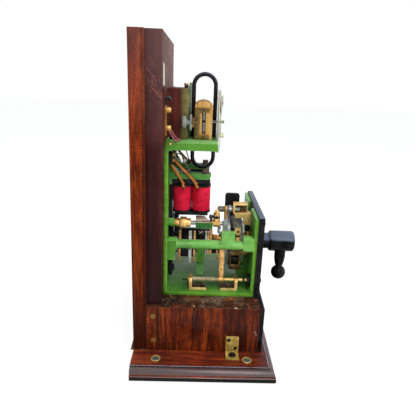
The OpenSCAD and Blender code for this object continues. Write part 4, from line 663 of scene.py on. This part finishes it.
def frame_part(c, n):
    """The inner faces, then the upper faces and the leg in a paler green as painted light, then the outer
    side edges that catch the light, in a brighter green as painted light.
    """
    if abs(n.x) > 0.9 and abs(c.x) > 90:
        return 2
    on_leg = abs(c.x) < 30 and 5 < c.y < 20 and 134 < c.z < 180
    return on_leg or (n.z > 0.9 and c.z > 200)


dressed("main_frame", "green_casting", "green", 0.9, ("green_lit_top", "green_lit_edge"), frame_part)
# The bar is in a lighter copy of the green as painted light, save on its rear lower part
dressed("side_bar", "green_casting", "green_lit_bar", 0.9, ("green",), lambda c, n: c.y > 58 and c.z < 222)
PLATE_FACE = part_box("front_plate")[0].y
PLATE_PROUD = 3.2 * MM


def in_front_of_plate(place):
    """Moves what lies on the front plate's face out with it, as the real plate is thicker."""
    if place.y < PLATE_FACE + 0.1 * MM:
        place.y -= PLATE_PROUD
    return place


def behind_hub(place):
    """Shortens the hub's neck to the thicker plate."""
    if place.y > PLATE_FACE - 2 * MM:
        place.y -= PLATE_PROUD
    return place


dressed("front_plate", "black_paint", "plate_black", 0.6, reshape=in_front_of_plate)
dressed("frame_bolts", "steel", "dark_steel", 0.3)
dressed("plate_screws", "black_paint", "hub_black", 0.2, reshape=in_front_of_plate)
dressed("bearing_bushes", "brass", "brass", 0.2)
dressed("magnet_brackets", "green_casting", "green_bracket", 0.6)

# The handle and its shaft

dressed("handle_hub", "black_paint", "hub_black", 0.8, reshape=behind_hub)

# Distance from the shaft's axis and radius of the handle's arm, down to the ball
ARM_PROFILE = ((6, 0), (6, 5.9), (19, 5.9), (19, 11.9), (23, 12.3), (26, 11.9), (35, 11.9), (43, 11.2),
    (50, 10.1), (54, 9.1), (57, 7.8), (59, 7.7))
BALL_DROP, BALL_R = 74, 16
handle_low, handle_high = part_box("handle_arm")
handle_top = (0, (handle_low.y + handle_high.y) / 2 / MM, handle_low.z / MM + BALL_DROP + BALL_R)
ball = [(BALL_DROP - BALL_R * math.cos(math.radians(a)), BALL_R * math.sin(math.radians(a)))
    for a in range(30, 171, 10)]
with Shape("ball_handle", "black_paint", "ball_black", body=BODY["handle_arm"], replaces=("handle_arm",),
        smooth=50) as s:
    s.lathe(handle_top, (0, 0, -1), (*ARM_PROFILE, *ball, (BALL_DROP + BALL_R, 0)), 56)

dressed("main_shaft", "steel", "steel", 0.3)
dressed("commutator_drum", "ebonite", "ebonite_black", 0.3)
dressed("commutator_segments", "brass", "brass", 0.2)
dressed("ratchet_wheel", "steel", "steel", 0.25)
dressed("brake_drum", "steel", "matt_grey", 0.5)
dressed("shaft_collars", "brass", "brass", 0.3)

# Contacts, brake, pawl

# Places of two springs along Y
SILVERED_SPRINGS = (32.5, 0)
dressed("contact_block", "ebonite", "ebonite_black")
dressed("contact_springs", "brass", "brass_lined", 0.15, ("nickel",),
    lambda c, n: min(abs(c.y - y) for y in SILVERED_SPRINGS) < 3.5)
dressed("mechanism_screws", "brass", "bronze_screw", 0.2)
dressed("brake_fork", "brass", "dark_brass", 0.35)
dressed("brake_roller", "ebonite", "ebonite_black", 0.3)
# The cage's near faces are dark brass inside it as painted shade, and bright brass outside as painted light
dressed("cage_bracket", "brass", "brass_lined", 0.35, ("dark_brass", "bright_brass"),
    lambda c, n: 0 if n.x > -0.9 else 1 if c.x > -17 else 2)
POST_HEAD, SHAFT_REAR = 236, -37
dressed("cage_post", "brass", "brass_lined", 0.35, ("iron_black",), lambda c, n: c.z > POST_HEAD)
dressed("pawl_shaft", "steel", "soft_nickel", 0.3, ("grey_brown_steel",), lambda c, n: c.y > SHAFT_REAR)
dressed("pawl", "steel", "steel", 0.3)
dressed("drop_arm", "brass", "brass", 0.3)
# The lug that holds the plate is painted
dressed("ebonite_plate", "ebonite", "ebonite_black", 0.5, ("green",),
    lambda c, n: c.x > 57.1 or c.z < 238 or (n.x > 0.9 and c.x > 63))

# Lock magnets

dressed("yoke_bolts", "steel", "rusty_bolt", 0.3)
dressed("magnet_irons", "iron", "iron_black", 0.5)
dressed("coil_cheeks", "ebonite", "ebonite_black", 0.3)
dressed("coil_windings", "red_tape", "red_tape_cloth", 0.6)
dressed("coil_leads", "orange_sleeve", "orange_cloth", 0.3)
dressed("coil_board", "ebonite", "ebonite_black")
dressed("rocking_shaft", "steel", "steel", 0.3)
dressed("rocker_collars", "brass", "brass_lined", 0.35)
ARMATURE_TOP = 264.6
dressed("armature", "iron", "green_dark", 0.4, ("rusty_plate",), lambda c, n: c.z > ARMATURE_TOP)
ROCKER_X, ROCKER_Z, HUB_R = -66, 265.5, 7.1
# The lever is steel below its brass hub
dressed("lock_lever", "brass", "brass", 0.3, ("steel",),
    lambda c, n: c.z < ROCKER_Z and math.hypot(c.x - ROCKER_X, c.z - ROCKER_Z) > HUB_R)
dressed("rocker_bearing", "steel", "soft_nickel", 0.3)

# Plunger

BUTTON_BACK = -84
dressed("plunger_rod", "brass", "bright_brass", 0.3, ("ebonite_black",), lambda c, n: c.y < BUTTON_BACK)
dressed("plunger_arm", "brass", "brass_lined", 0.35)
# Near faces are bright brass as painted light, and the tops of the feet dark brass as painted shade
dressed("plunger_brackets", "brass", "brass_lined", 0.4, ("bright_brass", "dark_brass"),
    lambda c, n: 1 if n.x < -0.9 else 2 if n.z > 0.9 and c.z < 140 else 0)

# The script gives the spring a mesh of its own. On the instrument its front end goes with the plunger, and
# its rear end stays on the bracket
spring = dressed("plunger_spring", "steel", "spring_steel", 0)
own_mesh(spring)

# Indicator

DIAL_Z = 455.4
TRAY_TOP, SCREW_Y = 517.4, 48.5
WINDOW_HALF, NEEDLE_HUB_R = 23, 3.5


def block_part(c, n):
    """Wood, then on its outer side the terminal strip, then the terminals on that."""
    if c.x > -111 or c.y > 78.5:
        return 0
    return 1 if c.y > 76.5 else 2


def tray_part(c, n):
    """Sheet brass, then the steel clamp strip, then the screw's head and its neck."""
    if c.z > TRAY_TOP and abs(c.y - SCREW_Y) < 4.5 and abs(c.x) < 4.5:
        return 2 if c.z > TRAY_TOP + 4.4 else 3
    return c.y < 42.1 and abs(c.x) < 7.1


def bobbin_part(c, n):
    """Boxwood, then the windings, the plates and ear, and the terminal screw."""
    if c.x < -55 and c.y > 34.9:
        return 3
    if abs(c.x) > 45.1:
        return 2
    in_window = abs(c.z - DIAL_Z) < WINDOW_HALF and 7.9 < c.y < 17.9
    return 11 < abs(c.x) < 38 and not in_window


def needle_part(c, n):
    """Pointer and spindle, then the inner needle where the window shows it, pale and glowing a little as
    painted light, then its hub and the rest of the inner needle, then the pointer's boss.
    """
    from_axis = math.hypot(c.x, c.z - DIAL_Z)
    if c.y < 0:
        return 3 if c.y < -19 and from_axis < 4.5 else 0
    return 2 if abs(from_axis - NEEDLE_HUB_R) < 0.2 or abs(c.y - 12.3) > 3.3 else 1


def leaning_pointer(place):
    """The pointer's upper end stands away from the dial."""
    rise = max(0.0, place.z - 462 * MM)
    if place.y < -20 * MM:
        place.y -= 0.13 * rise
    return place


dressed("indicator_block", "dark_wood", "block_wood", 0.5, ("old_brass", "brass"), block_part)
dressed("indicator_tray", "brass", "olive_brass", 0.3, ("grey_green_steel", "brass", "iron_black"), tray_part)
dressed("polar_magnets", "magnet_steel", "magnet_black", 0.3)
dressed("indicator_bobbins", "boxwood", "boxwood_turned", 0.4, ("iron_black", "plate_brass", "soft_nickel"),
    bobbin_part)
dressed("needle", "steel", "steel", 0.15, ("lit_blue_steel", "iron_black", "grey_green_steel"), needle_part,
    leaning_pointer)
dressed("pivot_screw", "steel", "soft_nickel", 0.3)
# The dial's back face glows a little, as painted light
dressed("dial", "white_enamel", "dial_white", 0.3, ("ivory", "lit_dial_back"),
    lambda c, n: 1 if abs(n.y) < 0.5 else 2 if n.y > 0 else 0)

# Small pieces that the CAD leaves to this script

UP = (0, 0, 1)
NEAR = (-1, 0, 0)
FAR = (1, 0, 0)
FRONT = (0, -1, 0)
REAR = (0, 1, 0)

CUP_X = 167.6
with Shape("cup_screws", "iron", "screw_iron") as s:
    for x in (-CUP_X, CUP_X):
        for y, turn in ((90.2, 25), (-83.4, 70)):
            s.screw_head((x, y, 23.6), UP, 6.6, 3.4, turn, 0.75)

PLINTH_SIDE = 142.8
with Shape("side_nails", "steel", "soft_nickel") as s:
    for side in (-1, 1):
        for y, z in ((-98.6, 71.5), (-101.2, 66.4)):
            s.lathe((side * PLINTH_SIDE, y, z), (side, 0, 0), ((0, 1.7), (0.9, 1.4), (1.2, 0)), 16)

with Shape("window_plate_screws", "brass", "dark_brass") as s:
    for x, out in ((-47.5, NEAR), (47.5, FAR)):
        for y, z in ((13.1, 480), (14.3, 430.6)):
            s.screw_head((x, y, z), out, 1.9, 1, 40 * out[0], 0.6, 0.16, 14)

PAPER_OUTLINE = ((-125, 81.9), (-97, 81.9), (-97, 81.5), (-110, 81.2), (-125, 81.5))
with Shape("paper_slip", "white_enamel", "paper") as s:
    s.skin([[(x - 0.3 * (z - 533) * (x + 125) / 37, y, z + 2 * math.sin(x)) for x, y in PAPER_OUTLINE]
        for z in (521, 533, 545, 556)])

with Shape("terminal_strip", "brass", "old_brass", bevel=0.5) as s:
    s.box((-125, 76.3, 439.5), (-111.6, 81.9, 491))

TOP_HOOK_ROUTE = ((77.2, 489), (77.6, 494), (77.2, 499), (75.5, 502), (72.5, 502.6), (70.5, 500.8),
    (69.6, 498.4))
with Shape("black_hook", "iron", "magnet_black") as s:
    s.tube([(-118, y, z) for y, z in TOP_HOOK_ROUTE], 2.4)

INDICATOR_WIRES = (
    ((-118, 71.5, 451.5), (-115.5, 68.5, 448.5), (-109, 65.5, 442.5), (-100, 62.5, 436), (-90, 59.5, 430.5),
        (-78, 58, 428.3), (-62, 57.2, 427.6)),
    ((-118, 73.5, 450.5), (-117, 70.8, 446), (-113, 68.2, 440), (-106, 65, 433), (-97, 61.5, 428.6),
        (-84, 58.6, 427.4), (-62, 55.4, 427.4)),
)
with Shape("indicator_wires", "red_tape", "rose_cloth") as s:
    for route in INDICATOR_WIRES:
        s.tube(route, 1.5, 10)

with Shape("shelf_stud", "brass", "brass") as s:
    s.screw_head((-117, 70.5, 425.2), UP, 3.6, 2.6, 20)

with Shape("ledge_chip", "white_enamel", "paper") as s:
    s.skin([[(x, y, 121.6) for x, y in ((-142.9, -54.6), (-138.6, -56.5), (-139.4, -61), (-142.9, -63.4))],
        [(x, y, 124.4) for x, y in ((-142.8, -57), (-140.6, -58), (-140.8, -59.8), (-142.8, -61.2))]])

# Where each lead's sleeve goes on past its CAD end, with a metal tag in it
LEAD_ENDS = [(Vector((side * x0, y0, z0)), Vector((side * x1, y1, z1))) for side in (-1, 1)
    for x0, y0, z0, x1, y1, z1 in (
        (60.9, 50.7, 346.5, 68.6, 47.2, 336.6),
        (60.4, 27.9, 348, 68.4, 20.3, 336.4),
    )]
with Shape("sleeve_ends", "orange_sleeve", "orange_cloth") as s:
    for start, end in LEAD_ENDS:
        s.tube([start, end], 2.6)
with Shape("sleeve_tags", "brass", "dark_brass") as s:
    for start, end in LEAD_ENDS:
        along = (end - start).normalized()
        s.tube([end - along, end + along * 2.6], 1.7)

with Shape("lead_nuts", "brass", "brass") as s:
    for side in (-1, 1):
        for z in (399, 388):
            s.lathe((side * 63.5, 69.6, z), FRONT, ((0, 4.8), (1.4, 4.8), (1.4, 3.6), (3.4, 3.6), (4, 3)), 24)

LEAD_WIRES = (((61, 64.6, 399), (58, 60, 400.4), (52, 53, 396), (47, 46, 384), (46, 41, 368.6)),
    ((61, 64.4, 388), (58, 61, 384), (53, 56, 374), (51, 51.6, 360.6)))
with Shape("lead_wires", "steel", "grey_green_steel") as s:
    for side in (-1, 1):
        for route in LEAD_WIRES:
            s.tube([(side * x, y, z) for x, y, z in route], 1.2, 10)

with Shape("rear_knob", "ebonite", "ebonite_black") as s:
    s.lathe((-60, 75.9, 166), FRONT, ((0, 9), (2, 9), (2, 15), (4, 16.4), (7, 16.4), (9, 14), (9.6, 7),
        (12, 6), (12.6, 4)), 40)

with Shape("arm_rivet", "brass", "dark_brass", body=BODY["plunger_arm"]) as s:
    s.lathe((-77.3, -32.5, 172), NEAR, ((0, 1.9), (0.9, 1.5), (1.3, 0)), 14)

ROD_X, ROD_Z = -75, 148.4
HOOK_ROUTE = ((35, ROD_Z), (38.5, 146.6), (41, 145.2), (43.4, 145.4), (44.8, 147.4))
with Shape("rod_hook", "iron", "iron_black", body=BODY["plunger_rod"]) as s:
    s.tube([(ROD_X, y, z) for y, z in HOOK_ROUTE], 1.3, 10)

with Shape("rod_stop", "iron", "iron_black", body=BODY["plunger_rod"]) as s:
    s.lathe((ROD_X, -80.4, ROD_Z), REAR, ((0, 3.6), (0.5, 4.3), (3.7, 4.3), (4.2, 3.6)))

# A post with a head, a black band, a washer and a nut, and a pin into the nut
with Shape("brake_adjuster", "brass", "bright_brass", "iron_black", "nickel", body=BODY["brake_fork"],
        bevel=0.3) as s:
    s.box((-56.4, -67.6, 204), (-52.7, -59.6, 241))
    s.box((-56.6, -68.3, 240.2), (-51.4, -57.6, 252))
    s.index = 1
    s.box((-56.4, -68.1, 233.4), (-51.5, -59.1, 237.8))
    s.lathe((-56.5, -63.6, 245.4), NEAR, ((0, 2.4), (0.4, 2.4)), 20)
    s.lathe((-52, -51.6, 249.2), NEAR, ((0, 4.6), (4, 4.6), (4.6, 3.8), (4.6, 2), (3.4, 1.8)))
    s.index = 2
    s.tube([(-54, -60, 245.6), (-54, -54, 248.2)], 1.9, 16)

SPRING_X, SPRING_Y, SPRING_LOW, SPRING_HIGH = -55, -45.6, 172, 200
TURNS, STEPS, COIL_R = 13, 14, 2.3
coil = []
for i in range(TURNS * STEPS + 1):
    angle = math.tau * i / STEPS
    coil.append((SPRING_X + COIL_R * math.cos(angle), SPRING_Y + COIL_R * math.sin(angle),
        SPRING_LOW + (SPRING_HIGH - SPRING_LOW) * i / (TURNS * STEPS)))
with Shape("brake_spring", "steel", "steel", body=BODY["brake_fork"]) as s:
    s.tube([(SPRING_X, -49, 171.6), *coil, (SPRING_X, -49, 200.6)], 0.75, 8)

with Shape("lever_knob", "ebonite", "red_ebonite", body=BODY["lock_lever"]) as s:
    s.lathe((ROCKER_X, -7.6, 270.9), UP, ((0, 2.2), (4, 2.2), (4.4, 3.2), (6.6, 4), (10.4, 4), (11.8, 3),
        (12.3, 0)))

LEVER_Y = -18.3
# A nut and a pin, and the brass nut above them
with Shape("lever_fittings", "brass", "iron_black", "bright_brass", body=BODY["lock_lever"]) as s:
    s.lathe((ROCKER_X, LEVER_Y, 276.6), UP, ((0, 6.9), (0.6, 7.5), (4.6, 7.5), (5.2, 6.9)), 6)
    s.lathe((ROCKER_X - 7, LEVER_Y, 279.5), FAR, ((0, 2.9), (14, 2.9)), 20)
    s.index = 1
    s.lathe((ROCKER_X, LEVER_Y, 288.6), UP, ((0, 4.4), (3.4, 4.4), (4.2, 3.4), (5, 0)), 6)

with Shape("clamp_packing", "steel", "grey_green_steel", "old_brass", bevel=0.3) as s:
    s.box((-6.8, 42, 441), (6.8, 44.6, 522))
    s.index = 1
    s.box((-7.4, 41.4, 489), (7.4, 43.6, 505))

with Shape("rear_terminal_board", "ebonite", "ebonite_black", bevel=0.5) as s:
    s.box((-26, 59.5, 222), (26, 66.6, 270))
    for z in (229, 263):
        for x in (-19, -6, 6, 19):
            s.screw_head((x, 59.6, z), FRONT, 3.6, 2.4, 15 * x)

# A post, its slanting round head, and two nickel bars crossed on the head as a painted highlight
with Shape("screw_with_highlight_cross", "ebonite", "ebonite_black", "nickel") as s:
    s.lathe((-33.5, 11, 206.6), UP, ((0, 3), (25, 3)), 20)
    s.lathe((-36, 11, 231.5), (-0.35, 0, 0.94), ((-1.5, 7.2), (0.6, 7.2), (2.2, 5.6), (2.8, 2.5),
        (2.9, 0)), 32)
    s.index = 1
    for turn in (math.radians(35), math.radians(125)):
        reach = Vector((0.94 * math.sin(turn), math.cos(turn), 0.35 * math.sin(turn)))
        s.tube([Vector((-36.9, 11, 234)) + reach * out for out in (-5.4, -2, 2, 5.4)], 1.1, 8)

# Dial: bezel, graduations and three plain sectors

DIAL_FACE = -18.25
MARK_DEPTH = 0.4
MARK_STEP = 14.5


def dial_sector(shape, r0, r1, a0, a1, steps=20):
    """A thin flush plate on the dial, between two radii and two angles from upright."""
    arc = [math.radians(a0 + (a1 - a0) * i / steps) for i in range(steps + 1)]
    outline = [(r1, a) for a in arc] + [(r0, a) for a in reversed(arc)]
    shape.skin([[(r * math.sin(a), y, DIAL_Z + r * math.cos(a)) for r, a in outline]
        for y in (DIAL_FACE, DIAL_FACE + MARK_DEPTH)])


with Shape("dial_marks", "white_enamel", "ivory", "red_paint", "green", "iron_black") as s:
    for a0, a1, look in ((-58, -24, 1), (-17, 17, 0), (24, 58, 2)):
        s.index = look
        dial_sector(s, 30, 47, a0, a1)
    s.index = 3
    for i in range(-4, 5):
        angle = i * MARK_STEP
        dial_sector(s, 49, 53 if i % 2 else 55, angle - 0.5, angle + 0.5)

BEZEL_RIM = ((61, -17.9), (61, -18.4), (60.4, -19), (59.2, -19), (58.4, -18.4), (58.4, -17.9))
BEZEL_STEPS = 96
with Shape("dial_bezel", "white_enamel", "ivory") as s:
    s.skin([[(r * math.sin(a), y, DIAL_Z + r * math.cos(a)) for r, y in BEZEL_RIM]
        for a in (math.tau * i / BEZEL_STEPS for i in range(BEZEL_STEPS + 1))], close_ends=False)
    bmesh.ops.remove_doubles(s.mesh, verts=s.mesh.verts, dist=1e-6)


# Floor, light and camera


SKY_LIGHT, SKY_COLOUR = 0.62, (0.93, 0.97, 1)
FLOOR_WIDTH, FLOOR_DEPTH = 18, 0.04
FLOOR_GREY, FLOOR_SEEN, FLOOR_LIT = 0.34, 0.78, 0.1


def studio_sky():
    """An even soft light that looks white."""
    world = bpy.data.worlds.new("studio")
    bpy.context.scene.world = world
    world.use_nodes = True
    sky = Nodes(world.node_tree)
    sky.node("ShaderNodeOutputWorld",
        {"Surface": sky.glow_seen_directly("ShaderNodeBackground", 1, SKY_LIGHT, SKY_COLOUR)})


def studio_floor():
    """A wide pale floor that looks white and keeps the object's soft shadow."""
    slab = bmesh.new()
    stretch = Matrix.Diagonal((FLOOR_WIDTH, FLOOR_WIDTH, FLOOR_DEPTH, 1))
    bmesh.ops.create_cube(slab, size=1, matrix=Matrix.Translation((0, 0, -FLOOR_DEPTH / 2)) @ stretch)
    floor = made_object("studio_floor", slab)
    material = bpy.data.materials.new("floor_pale")
    material.use_nodes = True
    pale = Nodes(material.node_tree)
    card = pale.node("ShaderNodeBsdfDiffuse", {"Color": [FLOOR_GREY, FLOOR_GREY, FLOOR_GREY, 1]})
    glow = pale.glow_seen_directly("ShaderNodeEmission", FLOOR_SEEN, FLOOR_LIT, (1, 1, 1))
    both = pale.node("ShaderNodeAddShader", (card.outputs[0], glow))
    pale.node("ShaderNodeOutputMaterial", {"Surface": both.outputs[0]})
    floor.data.materials.append(material)


def softbox(name, place, target, size, power):
    """A square area lamp aimed at a point."""
    lamp = bpy.data.lights.new(name, "AREA")
    lamp.size = size
    lamp.energy = power
    holder = placed(name, lamp)
    holder.location = place
    holder.rotation_euler = (Vector(target) - Vector(place)).to_track_quat("-Z", "Y").to_euler()


studio_sky()
studio_floor()
softbox("key", (-1.5, -0.5, 1.7), (0, 0, 0.28), 1.2, 22)
softbox("front_fill", (-0.4, -2.0, 1.0), (0, 0, 0.25), 1.4, 12)
softbox("rear_fill", (0.8, 1.8, 1.3), (0, 0, 0.3), 1.4, 12)

CAMERA_PLACE = (-0.803, 0.021, 0.531036)
CAMERA_YAW = -1.694
CAMERA_PITCH = 17.637
CAMERA_ROLL = 2.3035
CAMERA_LENS = 34.48


def photo_camera():
    """A camera at the photograph's place, looking along +X and down, with a slight roll."""
    yaw = Matrix.Rotation(math.radians(CAMERA_YAW), 3, "Z")
    ahead = yaw @ Vector((1, 0, 0))
    right = yaw @ Vector((0, -1, 0))
    up = Vector((0, 0, 1))
    pitch, roll = math.radians(CAMERA_PITCH), math.radians(CAMERA_ROLL)
    tilted = ahead * math.cos(pitch) - up * math.sin(pitch)
    tilted_up = up * math.cos(pitch) + ahead * math.sin(pitch)
    rolled_right = right * math.cos(roll) + tilted_up * math.sin(roll)
    rolled_up = tilted_up * math.cos(roll) - right * math.sin(roll)
    lens = bpy.data.cameras.new("photo_camera")
    lens.lens = CAMERA_LENS
    lens.sensor_width = 36
    lens.clip_start = 0.02
    camera = placed("photo_camera", lens)
    columns = Matrix((rolled_right, rolled_up, -tilted)).transposed()
    camera.matrix_world = Matrix.Translation(CAMERA_PLACE) @ columns.to_4x4()
    bpy.context.scene.camera = camera


photo_camera()
bpy.context.scene.view_settings.view_transform = "Standard"
